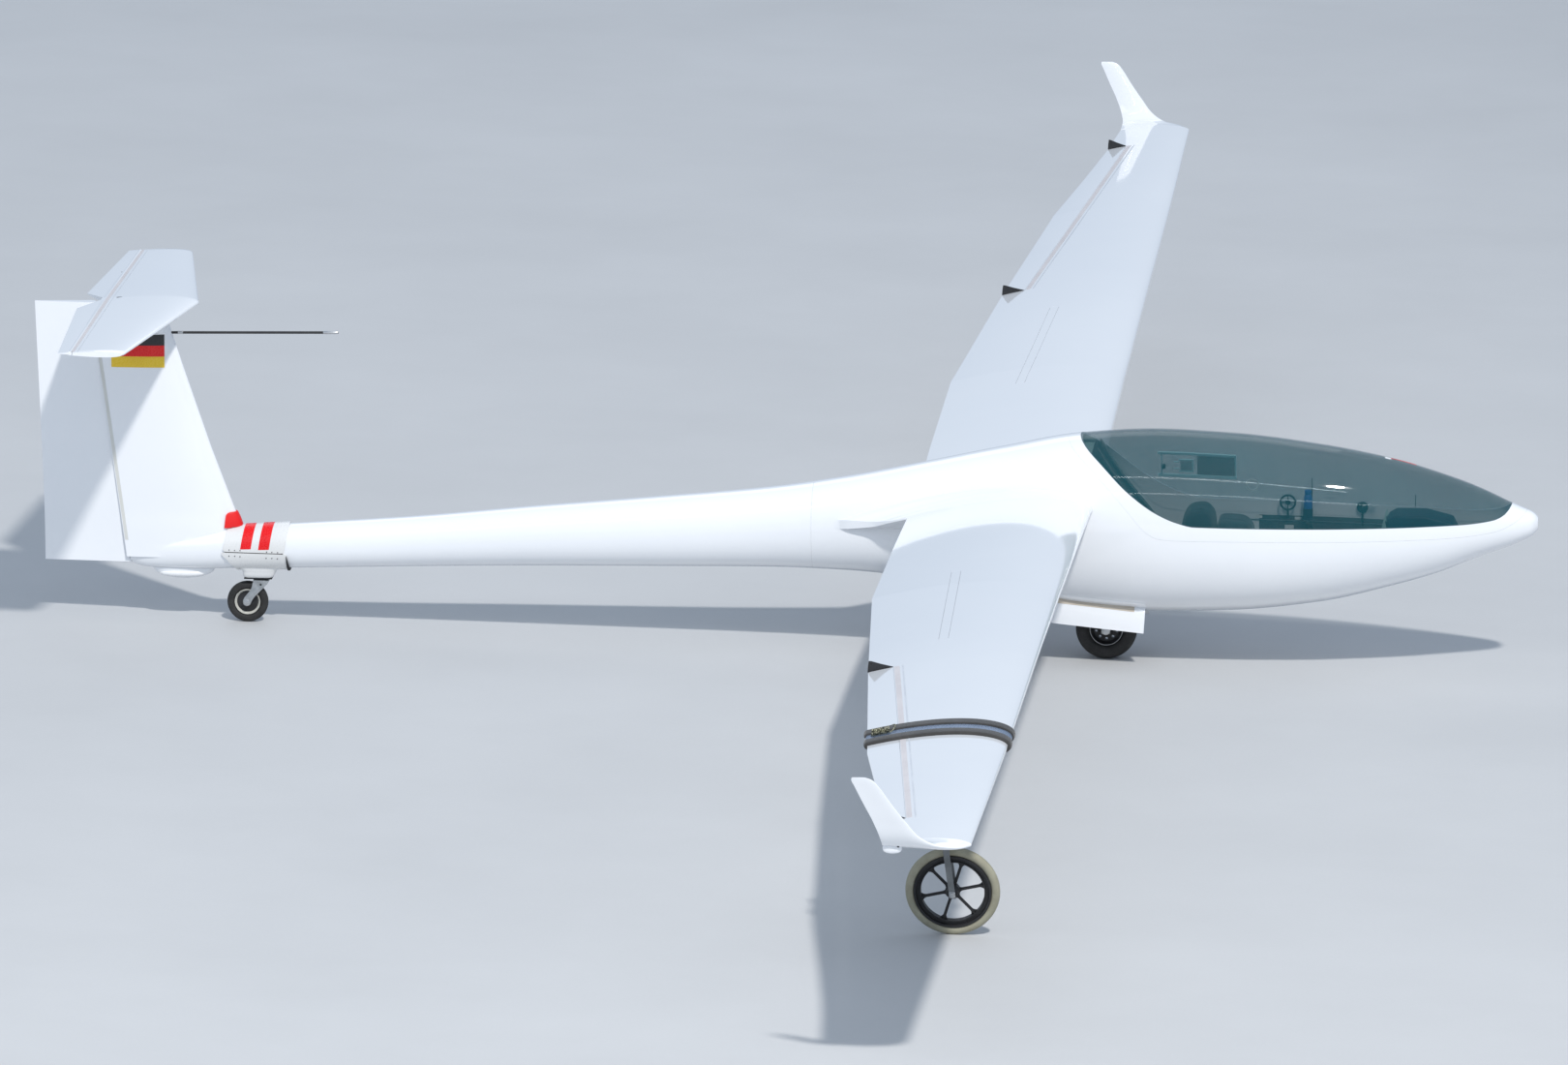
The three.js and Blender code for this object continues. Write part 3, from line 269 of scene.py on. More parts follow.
# Dark tone, bright tone, size of the mottling, low and high roughness, strength and depth of the bump, and
# what else the finish sets: fine is the size of its small noise
finishes = {
    "gelcoat": ((0.83, 0.85, 0.88), (0.87, 0.885, 0.905), 0.7, (0.05, 0.10), (0.02, 0.0004),
                {"coat": 0.6, "fine": 240}),
    "insidePaint": ((0.60, 0.61, 0.62), (0.68, 0.69, 0.70), 3, (0.45, 0.6), (0.15, 0.0008), {}),
    "clearPlastic": ((0.50, 0.76, 0.80), (0.60, 0.86, 0.90), 14, (0.2, 0.34), (0.08, 0.0003), {"fine": 240}),
    "blackPlastic": ((0.010, 0.010, 0.011), (0.022, 0.022, 0.024), 12, (0.42, 0.62), (0.2, 0.0006), {"fine": 420}),
    "greyTrim": ((0.060, 0.066, 0.072), (0.105, 0.112, 0.12), 9, (0.5, 0.75), (0.25, 0.0008), {"fine": 300}),
    "navyPanel": ((0.010, 0.018, 0.045), (0.018, 0.028, 0.062), 8, (0.4, 0.6), (0.15, 0.0006), {"fine": 300}),
    "aquaPanel": ((0.42, 0.58, 0.57), (0.50, 0.66, 0.64), 6, (0.5, 0.7), (0.15, 0.0006), {}),
    "seatCloth": ((0.045, 0.050, 0.055), (0.085, 0.092, 0.098), 40, (0.8, 0.95), (0.5, 0.0015),
                  {"fine": 600, "sheen": 0.4}),
    "redPad": ((0.70, 0.004, 0.005), (0.82, 0.009, 0.008), 10, (0.35, 0.55), (0.2, 0.001), {"fine": 200}),
    "galvanised": ((0.34, 0.36, 0.37), (0.52, 0.54, 0.55), 45, (0.32, 0.52), (0.15, 0.0006),
                   {"metal": 0.85, "fine": 220}),
    "alloy": ((0.45, 0.46, 0.47), (0.6, 0.61, 0.62), 30, (0.25, 0.42), (0.1, 0.0004),
              {"metal": 0.9, "fine": 260, "stretch": (1, 1, 5)}),
    "tyreBlack": ((0.012, 0.012, 0.012), (0.030, 0.029, 0.028), 18, (0.65, 0.9), (0.35, 0.0012), {"fine": 260}),
    "tyreCream": ((0.27, 0.255, 0.185), (0.35, 0.335, 0.25), 16, (0.6, 0.85), (0.3, 0.001), {"fine": 240}),
    "rimCream": ((0.48, 0.47, 0.42), (0.62, 0.61, 0.56), 20, (0.4, 0.6), (0.15, 0.0006), {}),
    "hingeTape": ((0.56, 0.525, 0.53), (0.64, 0.605, 0.605), 5, (0.35, 0.5), (0.1, 0.0004), {"fine": 120}),
    "finTape": ((0.62, 0.62, 0.585), (0.69, 0.69, 0.655), 5, (0.35, 0.5), (0.1, 0.0004), {"fine": 120}),
    "greyTape": ((0.50, 0.53, 0.57), (0.60, 0.63, 0.67), 5, (0.35, 0.5), (0.1, 0.0004), {"fine": 120}),
    "bowMetal": ((0.14, 0.19, 0.28), (0.19, 0.25, 0.36), 14, (0.24, 0.32), (0.04, 0.0003),
                 {"metal": 0.4, "fine": 120}),
    "blackPaint": ((0.012, 0.012, 0.013), (0.026, 0.026, 0.028), 9, (0.25, 0.4), (0.08, 0.0003), {"fine": 160}),
    "redPaint": ((0.72, 0.003, 0.005), (0.84, 0.008, 0.009), 9, (0.22, 0.34), (0.06, 0.0003), {"fine": 160}),
    "goldPaint": ((0.80, 0.52, 0.02), (0.90, 0.62, 0.04), 9, (0.22, 0.34), (0.06, 0.0003), {"fine": 160}),
    "whitePaint": ((0.80, 0.81, 0.82), (0.88, 0.885, 0.89), 6, (0.2, 0.34), (0.06, 0.0003), {"fine": 160}),
    "shellWhite": ((0.72, 0.72, 0.71), (0.78, 0.78, 0.77), 4, (0.22, 0.38), (0.06, 0.0004),
                   {"coat": 0.2, "fine": 140}),
    "bluePlastic": ((0.02, 0.10, 0.42), (0.04, 0.16, 0.55), 12, (0.35, 0.5), (0.15, 0.0004), {"fine": 320}),
    "labelWhite": ((0.74, 0.74, 0.72), (0.84, 0.84, 0.82), 14, (0.45, 0.6), (0.1, 0.0003), {"fine": 300}),
    "armGrey": ((0.16, 0.17, 0.175), (0.25, 0.26, 0.265), 18, (0.42, 0.6), (0.15, 0.0005),
                {"metal": 0.6, "fine": 240}),
    "blackFoam": ((0.014, 0.014, 0.015), (0.034, 0.034, 0.035), 40, (0.85, 0.98), (0.6, 0.0015), {"fine": 700}),
    "beigeStrip": ((0.52, 0.45, 0.36), (0.63, 0.56, 0.47), 9, (0.4, 0.6), (0.15, 0.0005), {"fine": 180}),
    "dialFace": ((0.010, 0.010, 0.011), (0.02, 0.02, 0.022), 20, (0.15, 0.25), (0.05, 0.0002), {"fine": 300}),
    "floorPaint": ((0.52, 0.525, 0.53), (0.56, 0.565, 0.57), 0.5, (0.7, 0.85), (0.1, 0.002), {"fine": 60}),
}
looks = {name: finish(name, *row[:5], **row[5]) for name, row in finishes.items()}
looks["pane"] = glassTint("canopyGlass", (0.002, 0.078, 0.100), (0.003, 0.098, 0.122), 0.36)
looks["smokePane"] = glassTint("smokePane", (0.135, 0.098, 0.092), (0.165, 0.122, 0.114), 0.55)
looks["ribFoam"] = ribbedFoam("ribFoam")
looks["camoCord"] = camoBraid("camoCord")
looks["webbing"] = weave("webbing", (0.030, 0.034, 0.040), (0.075, 0.082, 0.092), 900)


def through(table, at):
    # Piecewise cubic through the rows of a table, sorted by the first column. The slope at a row is the
    # weighted harmonic mean of the slopes on its two sides, and zero where they disagree in sign
    rows = np.array(sorted(table), float)
    x, y = rows[:, 0], rows[:, 1:]
    at = np.clip(np.asarray(at, float), x[0], x[-1])
    h = np.diff(x)[:, None]
    d = np.diff(y, axis=0) / h
    same = d[:-1] * d[1:] > 0
    w1, w2 = 2 * h[1:] + h[:-1], h[1:] + 2 * h[:-1]
    m = np.zeros_like(y)
    m[1:-1] = np.where(same, (w1 + w2) / (w1 / np.where(same, d[:-1], 1) + w2 / np.where(same, d[1:], 1)), 0)
    m[0], m[-1] = d[0], d[-1]
    k = np.clip(np.searchsorted(x, at, side="right") - 1, 0, len(x) - 2)
    step = (x[k + 1] - x[k])[..., None]
    t = (at[..., None] - x[k][..., None]) / step
    return ((2 * t**3 - 3 * t**2 + 1) * y[k] + (t**3 - 2 * t**2 + t) * step * m[k]
            + (3 * t**2 - 2 * t**3) * y[k + 1] + (t**3 - t**2) * step * m[k + 1])


def straight(table, at):
    # The same, taken in straight lines between the rows
    rows = np.array(sorted(table), float)
    return np.stack([np.interp(at, rows[:, 0], rows[:, k]) for k in range(1, rows.shape[1])], -1)


def curveOn(points, count=90):
    # A line through points on its running length, each coordinate a piecewise cubic
    points = np.asarray(points, float)
    run = np.concatenate([[0], np.cumsum(np.linalg.norm(np.diff(points, axis=0), axis=1))])
    return through(np.column_stack([run, points]).tolist(), np.linspace(0, run[-1], count))


def circle(count):
    # Angles of evenly spaced points round a full turn
    return 2 * np.pi * np.arange(count) / count


def spotsOf(x, y, z):
    # Three coordinates, spread to one shape, as points
    return np.stack(np.broadcast_arrays(*(np.asarray(v, float) for v in (x, y, z))), -1)


def gridOf(x0, x1, rows, y0, y1, columns):
    return np.meshgrid(np.linspace(x0, x1, rows), np.linspace(y0, y1, columns), indexing="ij")


def unitOf(ways):
    return ways / np.linalg.norm(ways, axis=-1, keepdims=True)


def signedPower(value, power):
    return np.sign(value) * np.abs(value) ** power


def gridFaces(rows, columns, ringed):
    i = np.arange(rows - 1)[:, None]
    j = np.arange(columns if ringed else columns - 1)[None, :]
    a = i * columns + j
    b = i * columns + (j + 1) % columns
    return np.stack([a, b, b + columns, a + columns], -1).reshape(-1, 4)


def smooth(mesh, angle):
    mesh.polygons.foreach_set("use_smooth", np.ones(len(mesh.polygons), bool))
    mesh.set_sharp_from_angle(angle=math.radians(angle))


def inScene(name, mesh):
    piece = bpy.data.objects.new(name, mesh)
    scene.collection.objects.link(piece)
    return piece


def asObject(name, spots, faces, look, angle=35):
    mesh = bpy.data.meshes.new(name)
    mesh.from_pydata(spots.tolist(), [], faces)
    mesh.update()
    smooth(mesh, angle)
    if look:
        mesh.materials.append(looks[look])
    return inScene(name, mesh)


def closedSkin(name, rings, look=None, angle=35):
    # A tube over rings of points, each end shut by a fan to its middle; turned if its volume is negative
    rings = np.asarray(rings, float)
    count, around = rings.shape[:2]
    spots = np.concatenate([rings.reshape(-1, 3), rings[0].mean(0)[None], rings[-1].mean(0)[None]])
    faces = gridFaces(count, around, True)
    j = np.arange(around)
    first, last, tailRow = count * around, count * around + 1, (count - 1) * around
    fans = np.concatenate([
        np.stack([np.full(around, first), (j + 1) % around, j], -1),
        np.stack([np.full(around, last), tailRow + j, tailRow + (j + 1) % around], -1),
    ])
    tri = np.concatenate([faces[:, [0, 1, 2]], faces[:, [0, 2, 3]], fans])
    a, b, c = spots[tri[:, 0]], spots[tri[:, 1]], spots[tri[:, 2]]
    if np.einsum("ij,ij->i", a, np.cross(b, c)).sum() < 0:
        faces, fans = faces[:, ::-1], fans[:, ::-1]
    return asObject(name, spots, faces.tolist() + fans.tolist(), look, angle)


def loopSkin(name, spots, look, angle=40):
    # A grid of points closed both ways round, turned if its volume is negative
    count, around = spots.shape[:2]
    i, j = np.meshgrid(np.arange(count), np.arange(around), indexing="ij")
    nextI, nextJ = (i + 1) % count, (j + 1) % around
    quads = np.stack([i * around + j, i * around + nextJ, nextI * around + nextJ, nextI * around + j], -1)
    quads = quads.reshape(-1, 4)
    flat = spots.reshape(-1, 3)
    a, b, c, d = (flat[quads[:, k]] for k in range(4))
    volume = np.einsum("ij,ij->i", a, np.cross(b, c)).sum() + np.einsum("ij,ij->i", a, np.cross(c, d)).sum()
    return asObject(name, flat, (quads[:, ::-1] if volume < 0 else quads).tolist(), look, angle)


def openSheet(name, grid, look, angle=35, thick=0.0):
    # A sheet over a grid of points, given a wall of this many millimetres by Solidify
    grid = np.asarray(grid, float)
    rows, columns = grid.shape[:2]
    piece = asObject(name, grid.reshape(-1, 3), gridFaces(rows, columns, False).tolist(), look, angle)
    if thick:
        wall = piece.modifiers.new("wall", "SOLIDIFY")
        wall.thickness, wall.offset = thick / 1000, 0
        settle(piece)
        smooth(piece.data, angle)
    return piece


def slab(name, outline, low, high, axis=1, look=None, place=toRow):
    # The outline's points set at the low and the high value of one axis, joined by a wall and shut by two caps
    outline = np.asarray(outline, float)
    count = len(outline)
    spots = np.concatenate([np.insert(outline, axis, value, axis=1) for value in (low, high)])
    walls = gridFaces(2, count, True)
    area = np.sum(outline[:, 0] * np.roll(outline[:, 1], -1) - np.roll(outline[:, 0], -1) * outline[:, 1])
    capLow, capHigh = np.arange(count), np.arange(count) + count
    if (area > 0) != (axis == 1):
        faces = walls.tolist() + [capLow[::-1].tolist(), capHigh.tolist()]
    else:
        faces = walls[:, ::-1].tolist() + [capLow.tolist(), capHigh[::-1].tolist()]
    return asObject(name, place(spots), faces, look)


def box(name, x, y, z, look=None, place=toRow):
    return slab(name, [(x[0], z[0]), (x[1], z[0]), (x[1], z[1]), (x[0], z[1])], y[0], y[1], 1, look, place)


def bead(middle, at, r, count):
    # A round profile for turnedSkin: the radius and the place on the axle of its middle, and its own radius
    a = circle(count)
    return np.stack([middle + r * np.cos(a), at + r * np.sin(a)], -1)


def mirrored(half):
    # A profile for turnedSkin from its half on one side of the wheel
    return half + [(r, -w) for r, w in half[::-1]]


def turnedSkin(name, profile, centre, look, count, place=toRow, angle=38, dent=None):
    # A closed profile of (radius, distance along the axle) turned about the y axis. The dent adds to each
    # radius by a function of the turn and of the place on the profile
    profile = np.asarray(profile, float)
    turn = circle(count)[:, None]
    r, w = profile[None, :, 0], profile[None, :, 1]
    if dent:
        r = r + dent(turn, circle(len(profile))[None])
    spots = spotsOf(centre[0] + r * np.cos(turn), centre[1] + w, centre[2] + r * np.sin(turn))
    return loopSkin(name, place(spots), look, angle)


def turnedAbout(name, profile, centre, look):
    # A closed profile of (radius, height) turned about an upright line
    profile = np.asarray(profile, float)
    a = circle(72)[:, None]
    r, h = profile[None, :, 0], profile[None, :, 1]
    spots = spotsOf(centre[0] + r * np.cos(a), centre[1] + r * np.sin(a), centre[2] + h)
    return loopSkin(name, toRow(spots), look, 30)


def rods(name, starts, ends, radius, look=None, sides=20, place=toRow, edge=0.0):
    # Straight round bars in one mesh: a circle square to each bar at both ends, shut by flat caps
    starts, ends = np.atleast_2d(np.asarray(starts, float)), np.atleast_2d(np.asarray(ends, float))
    unit = unitOf(ends - starts)
    helper = np.where(np.abs(unit[:, 2:3]) < 0.9, [[0.0, 0.0, 1.0]], [[1.0, 0.0, 0.0]])
    side = unitOf(np.cross(unit, helper))
    over = np.cross(unit, side)
    a = circle(sides)[None, :, None]
    ring = radius * (np.cos(a) * side[:, None] + np.sin(a) * over[:, None])
    spots = np.stack([starts[:, None] + ring, ends[:, None] + ring], 1).reshape(-1, 3)
    base = (np.arange(len(starts)) * 2 * sides)[:, None]
    j = np.arange(sides)[None]
    after = (j + 1) % sides
    quads = np.stack([base + j, base + after, base + sides + after, base + sides + j], -1).reshape(-1, 4)
    caps = np.concatenate([base + j[:, ::-1], base + sides + j])
    piece = asObject(name, place(spots), quads.tolist() + caps.tolist(), look, 40)
    return bevel(piece, edge, 2) if edge else piece


def tube(name, path, radius, look, sides):
    # A circle carried along the path, square to it, its side held square to the path's own plane
    path = np.asarray(path, float)
    run = unitOf(np.gradient(path, axis=0))
    plane = np.linalg.svd(path - path.mean(0), full_matrices=False)[2][-1]
    side = unitOf(np.cross(run, plane))
    over = np.cross(run, side)
    a = circle(sides)[None, :, None]
    r = np.broadcast_to(np.asarray(radius, float), (len(path),))[:, None, None]
    ring = path[:, None] + r * (np.cos(a) * side[:, None] + np.sin(a) * over[:, None])
    return closedSkin(name, toRow(ring), look, 50)


def ball(name, centre, reach, look=None, rows=40, columns=64, power=1.0):
    # An ellipsoid on latitude and longitude; the power squares or sharpens its outline
    lat = np.linspace(-np.pi / 2, np.pi / 2, rows + 2)[1:-1][:, None]
    lon = circle(columns)[None]
    x = reach[0] * signedPower(np.sin(lat), power)
    y = reach[1] * signedPower(np.cos(lat), power) * signedPower(np.cos(lon), power)
    z = reach[2] * signedPower(np.cos(lat), power) * signedPower(np.sin(lon), power)
    return closedSkin(name, toRow(spotsOf(x + centre[0], y + centre[1], z + centre[2])), look, 60)


def settle(piece):
    # The modifiers' result becomes the mesh
    graph = bpy.context.evaluated_depsgraph_get()
    fresh = bpy.data.meshes.new_from_object(piece.evaluated_get(graph))
    piece.modifiers.clear()
    piece.data = fresh


def carve(piece, cutters, how="DIFFERENCE", keep=False):
    for cutter in cutters if isinstance(cutters, list) else [cutters]:
        step = piece.modifiers.new("carve", "BOOLEAN")
        step.operation, step.solver, step.object = how, "EXACT", cutter
        settle(piece)
        if not keep:
            bpy.data.objects.remove(cutter)
    return piece


def bevel(piece, width, segments=3):
    edge = piece.modifiers.new("edge", "BEVEL")
    edge.width, edge.segments, edge.limit_method = width, segments, "ANGLE"
    edge.angle_limit = math.radians(30)
    settle(piece)
    smooth(piece.data, 40)
    return piece


def cutCorners(points, share=0.14, rounds=2):
    # Each corner of a closed outline is replaced by two points, set along its two sides by the share
    points = np.asarray(points, float)
    for _ in range(rounds):
        after = np.roll(points, -1, 0)
        points = np.stack([points + (after - points) * share, after + (points - after) * share], 1)
        points = points.reshape(-1, points.shape[-1])
    return points


def vertexArray(mesh):
    spots = np.empty(len(mesh.vertices) * 3)
    mesh.vertices.foreach_get("co", spots)
    return spots.reshape(-1, 3)


def mergeInto(piece, other):
    # Both meshes in one object, each closed by itself; the first piece's finish stays
    first, second = piece.data, other.data
    depth = len(first.vertices)
    spots = np.concatenate([vertexArray(first), vertexArray(second)])
    faces = [list(f.vertices) for f in first.polygons] + [[v + depth for v in f.vertices] for f in second.polygons]
    mesh = bpy.data.meshes.new(piece.name)
    mesh.from_pydata(spots.tolist(), [], faces)
    mesh.update()
    smooth(mesh, 55)
    for stuff in first.materials:
        mesh.materials.append(stuff)
    piece.data = mesh
    bpy.data.objects.remove(other)
    return piece


def dress(node, look):
    # A CAD node keeps its mesh and takes one of this scene's finishes
    stuff = nodes[node].data.materials
    stuff.clear()
    stuff.append(looks[look])


def fromNode(node, name, look, width, segments=3):
    # A copy of a CAD node with its doubles merged and its flat faces joined, its edges rounded
    mesh = nodes[node].data.copy()
    work = bmesh.new()
    work.from_mesh(mesh)
    bmesh.ops.remove_doubles(work, verts=work.verts, dist=2e-5)
    bmesh.ops.dissolve_limit(work, angle_limit=math.radians(1), verts=work.verts, edges=work.edges)
    work.to_mesh(mesh)
    work.free()
    mesh.materials.clear()
    mesh.materials.append(looks[look])
    return bevel(inScene(name, mesh), width, segments)


def twin(piece, name):
    # The same surface on the other side of the middle plane, its faces turned back outwards
    copy = inScene(name, piece.data.copy())
    copy.data.transform(Matrix.Scale(-1, 4, (0, 1, 0)))
    copy.data.flip_normals()
    return copy


def settled(piece, body, stands, angle=None):
    # The piece rides its body and stands for its CAD nodes, which are hidden
    if angle:
        smooth(piece.data, angle)
    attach(piece, body)
    if stands:
        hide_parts(*stands)
    return piece


def trim(piece, body="airframe"):
    # A small piece that stands for no CAD node
    return settled(piece, body, ())


def bothSides(piece, name, bodies, stands):
    # One piece for the left side and its mirror for the right
    other = twin(piece, name + "_right")
    piece.name = name + "_left"
    for one, side in ((piece, "left"), (other, "right")):
        settled(one, bodies.format(side), [s.format(side) for s in stands], 32)


floorSet = {"half": 220.0, "stations": 3}
line = np.linspace(-floorSet["half"], floorSet["half"], floorSet["stations"])
floor = openSheet("floor", spotsOf(*np.meshgrid(line, line, indexing="ij"), 0), "floorPaint")
print("stage: camera, lights, floor and finishes")

# Stations: x, height of the top, height of the bottom, half width, height of the widest point
hull = {
    "table": [
        (3360, 677, 623, 27, 650), (3356, 683, 617, 33, 650), (3338, 699, 597, 54, 648), (3290, 720, 570, 80, 646),
        (3225, 748, 542, 106, 642), (3158, 780, 518, 130, 638), (3060, 822, 480, 158, 632),
        (2927, 868, 425, 192, 624), (2711, 930, 360, 239, 612), (2386, 990, 283, 288, 604),
        (2000, 1034, 240, 313, 600), (1650, 1048, 229, 319, 604), (1326, 1027, 245, 302, 612),
        (958, 957, 306, 254, 622), (615, 883, 357, 209, 618), (271, 812, 388, 183, 606),
        (-73, 757, 397, 165, 580), (-588, 704, 391, 148, 548), (-1108, 655, 384, 132, 520),
        (-1721, 593, 369, 110, 482), (-2261, 553, 353, 95, 454), (-2500, 536, 347, 84, 443),
        (-2720, 512, 341, 68, 430), (-2900, 488, 347, 46, 420), (-2972, 476, 366, 34, 420),
    ],
    "upperPower": 0.94, "lowerPower": 0.88, "back": -2972, "podBack": 120, "bulkhead": 1300, "cavityFront": 3215,
    "wall": 10, "frameWall": 12, "paneWall": 4,
}


def powersAt(above):
    # One power above the widest point of a section and one below it
    return np.where(above, hull["upperPower"], hull["lowerPower"])


def hullSpot(x, a, grow=0.0):
    # A point of the fuselage's skin at a station and an angle round its section, grown outwards. The section is
    # a superellipse: width and height are powers of cosine and sine
    x, a = np.asarray(x, float), np.asarray(a, float)
    top, bottom, half, wide = np.moveaxis(through(hull["table"], x), -1, 0)
    c, s = np.cos(a), np.sin(a)
    rise = np.where(s > 0, top - wide + grow, wide - bottom + grow)
    y = signedPower(c, powersAt(s > 0)) * (half + grow)
    return spotsOf(x, y, wide + signedPower(s, powersAt(s > 0)) * rise)


def hullAngle(x, z):
    # The angle round the section at which the skin has that height, on the left side
    top, bottom, _, wide = np.moveaxis(through(hull["table"], x), -1, 0)
    share = np.where(z > wide, (z - wide) / (top - wide), (z - wide) / (wide - bottom)).clip(-1, 1)
    return np.arcsin(signedPower(share, 1 / powersAt(z > wide)))


def hullRings(stations, grow=0.0, around=96):
    turn = 2 * np.pi * (np.arange(around) + 0.5) / around
    return hullSpot(np.asarray(stations, float)[:, None], turn[None], grow)


def hullPart(name, x0, x1, grow, count=60, around=96, look=None):
    return closedSkin(name, toRow(hullRings(np.linspace(x0, x1, count), grow, around)), look)


def hullPatch(name, x0, x1, z0, z1, side, grow, thick, look, rows, columns):
    # A patch on the fuselage's skin between two stations and two heights
    u, v = gridOf(0, 1, rows, 0, 1, columns)
    x, z = x0 + (x1 - x0) * u, z0 + (z1 - z0) * v
    spots = hullSpot(x, hullAngle(x, z), grow)
    spots[..., 1] *= side
    return openSheet(name, toRow(spots), look, 35, thick)


def skinPatch(name, x0, x1, a0, a1, grow, thick, look, rows=24, columns=8):
    # A patch on the fuselage's skin between two stations and two angles round its section
    x, a = gridOf(x0, x1, rows, a0, a1, columns)
    return openSheet(name, toRow(hullSpot(x, a, grow)), look, 40, thick)


def bothStations(back, split, front, behind, ahead):
    # Stations in two runs, closer together ahead of the split, where the nose bends
    return np.unique(np.concatenate([np.linspace(back, split, behind), np.linspace(split, front, ahead)]))


# Where the canopy meets the pod, and where its pane meets its frame, in side view
canopyLines = {
    "parting": [
        (1248, 1040), (1262, 1018), (1396, 893), (1552, 728), (1590, 682), (1630, 643), (1685, 618), (1780, 611.5),
        (2014, 610), (2475, 608), (2939, 612), (3167, 632), (3270, 676), (3312, 712),
    ],
    "pane": [
        (1300, 1048), (1321, 1020), (1429, 922), (1551, 812), (1676, 728), (1767, 690), (1844, 673),
        (2628, 666), (3011, 670), (3165, 684), (3218, 708), (3246, 741),
    ],
    "seam": 0.6, "paneOverlap": -0.4, "above": 1300, "half": 600,
}


def aboveLine(name, line, drop=0.0):
    # Everything above a line in side view, as a slab for cutting
    run = curveOn(line)
    run[:, 1] -= drop
    outline = run.tolist() + [(run[-1, 0], canopyLines["above"]), (run[0, 0], canopyLines["above"])]
    return slab(name, outline, -canopyLines["half"], canopyLines["half"])


# The wing's sections, also used for the root fairing: y, x of the leading edge, x of the trailing edge,
# z of the leading edge, z of the trailing edge, thickness over chord. The hinge and brake lines are x and y
wing = {
    "table": [
        (350, 1386, 566, 745, 702, 0.145), (1000, 1380, 562, 763, 726, 0.143), (2215, 1374, 563, 797, 768, 0.14),
        (3870, 1375, 684, 856, 840, 0.138), (5515, 1378, 817, 909, 899, 0.134), (6260, 1378, 917, 942, 933, 0.13),
        (6890, 1376, 994, 968, 961, 0.125), (7310, 1375, 1030, 984, 980, 0.11),
    ],
    "camber": 0.022, "side": 44, "hinge": ((790, 3870), (1084, 6890)), "plate": 4, "seam": 0.5,
    "stations": 110, "behind": 400, "above": 40, "below": 60, "flapInset": 5, "flapGap": 1, "flapSlope": 0.5,
    # Boxes along the brake's line: inset from its ends, rear and front edge ahead of it, depth, height
    "brake": ((906, 1930), (965, 3420)), "slot": (2.4, -20.9, 20.9, 62, 30), "lid": (4, -20, 20, 5, 30),
    "blade": (14, 5, 9, 61.6, -3),
}


def onLine(ends, at):
    # On the straight line between two points, the first coordinate where the second has this value
    (x0, y0), (x1, y1) = ends
    return x0 + (x1 - x0) * (at - y0) / (y1 - y0)


def foilHalf(u):
    # Half thickness of a laminar section along its chord, over five times its thickness
    return 0.2969 * np.sqrt(u) - 0.126 * u - 0.3516 * u**2 + 0.2843 * u**3 - 0.0986 * u**4


def foil(depth, camber, side):
    # Share of the chord, height over the chord, and which side: from the trailing edge over the top to the
    # leading edge and back below. The camber line is a parabola
    turn = np.pi * np.arange(side + 1) / side
    u = np.concatenate([(1 + np.cos(turn)) / 2, (1 - np.cos(turn[1:])) / 2])
    way = np.concatenate([np.ones(side + 1), -np.ones(side)])
    half = 5 * np.asarray(depth, float)[..., None] * foilHalf(u)
    return u, camber * 4 * u * (1 - u) + way * half, way


def foilRings(ys, lead, trail, zLead, zTrail, depth, camber, grow=0.0, side=wing["side"]):
    u, h, way = foil(depth, camber, side)
    chord = (lead - trail)[:, None]
    x = lead[:, None] - u * chord + np.where(u < 0.02, grow, 0) - np.where(u > 0.98, grow, 0)
    z = zLead[:, None] + (zTrail - zLead)[:, None] * u + h * chord + way * grow
    return spotsOf(x, np.asarray(ys, float)[:, None], z)


def wingRow(y):
    # The plan runs straight between the sections, heights and thickness run smoothly
    flat, bent = straight(wing["table"], y), through(wing["table"], y)
    return flat[..., 0], flat[..., 1], bent[..., 2], bent[..., 3], bent[..., 4]


def wingTopAt(x, y):
    lead, trail, zLead, zTrail, depth = wingRow(y)
    u = (lead - x) / (lead - trail)
    height = wing["camber"] * 4 * u * (1 - u) + 5 * depth * foilHalf(u)
    return zLead + (zTrail - zLead) * u + height * (lead - trail)


# Root fairing: the trailing edge runs aft and down along the fuselage as it nears it
fairing = {
    "table": [
        (130, 1414, 160, 745, 620, 0.134), (200, 1402, 285, 745, 636, 0.146), (240, 1396, 395, 745, 648, 0.153),
        (300, 1389, 480, 745, 674, 0.149), (350, 1386, 566, 745, 702, 0.145),
    ],
    "root": 130, "end": 350, "stations": 26, "swell": 16, "swellReach": 150,
}


def fairingSkin(name):
    ys = np.linspace(fairing["root"], fairing["end"], fairing["stations"])
    rows = through(fairing["table"], ys)
    rings = foilRings(ys, *rows.T, wing["camber"])
    way = foil(rows[:, 4], wing["camber"], wing["side"])[2]
    # The skin swells towards the fuselage
    lift = fairing["swell"] * ((fairing["end"] - ys) / fairing["swellReach"]).clip(0, 1) ** 2
    rings[..., 2] += way * lift[:, None]
    return closedSkin(name, toRow(rings))


pod = {
    "noseBend": 3200, "nose": 3360, "wellBack": 1240, "wellFront": 1632, "wellHalf": 92, "wellTop": 500,
    "below": 150, "wellWall": 8, "wide": 600, "rebate": (1000, 1420), "rebateLift": 3, "rebateClear": 2,
}


def wellBox(name, grow):
    return box(name, (pod["wellBack"] - grow, pod["wellFront"] + grow),
               (-pod["wellHalf"] - grow, pod["wellHalf"] + grow), (pod["below"], pod["wellTop"] + grow))


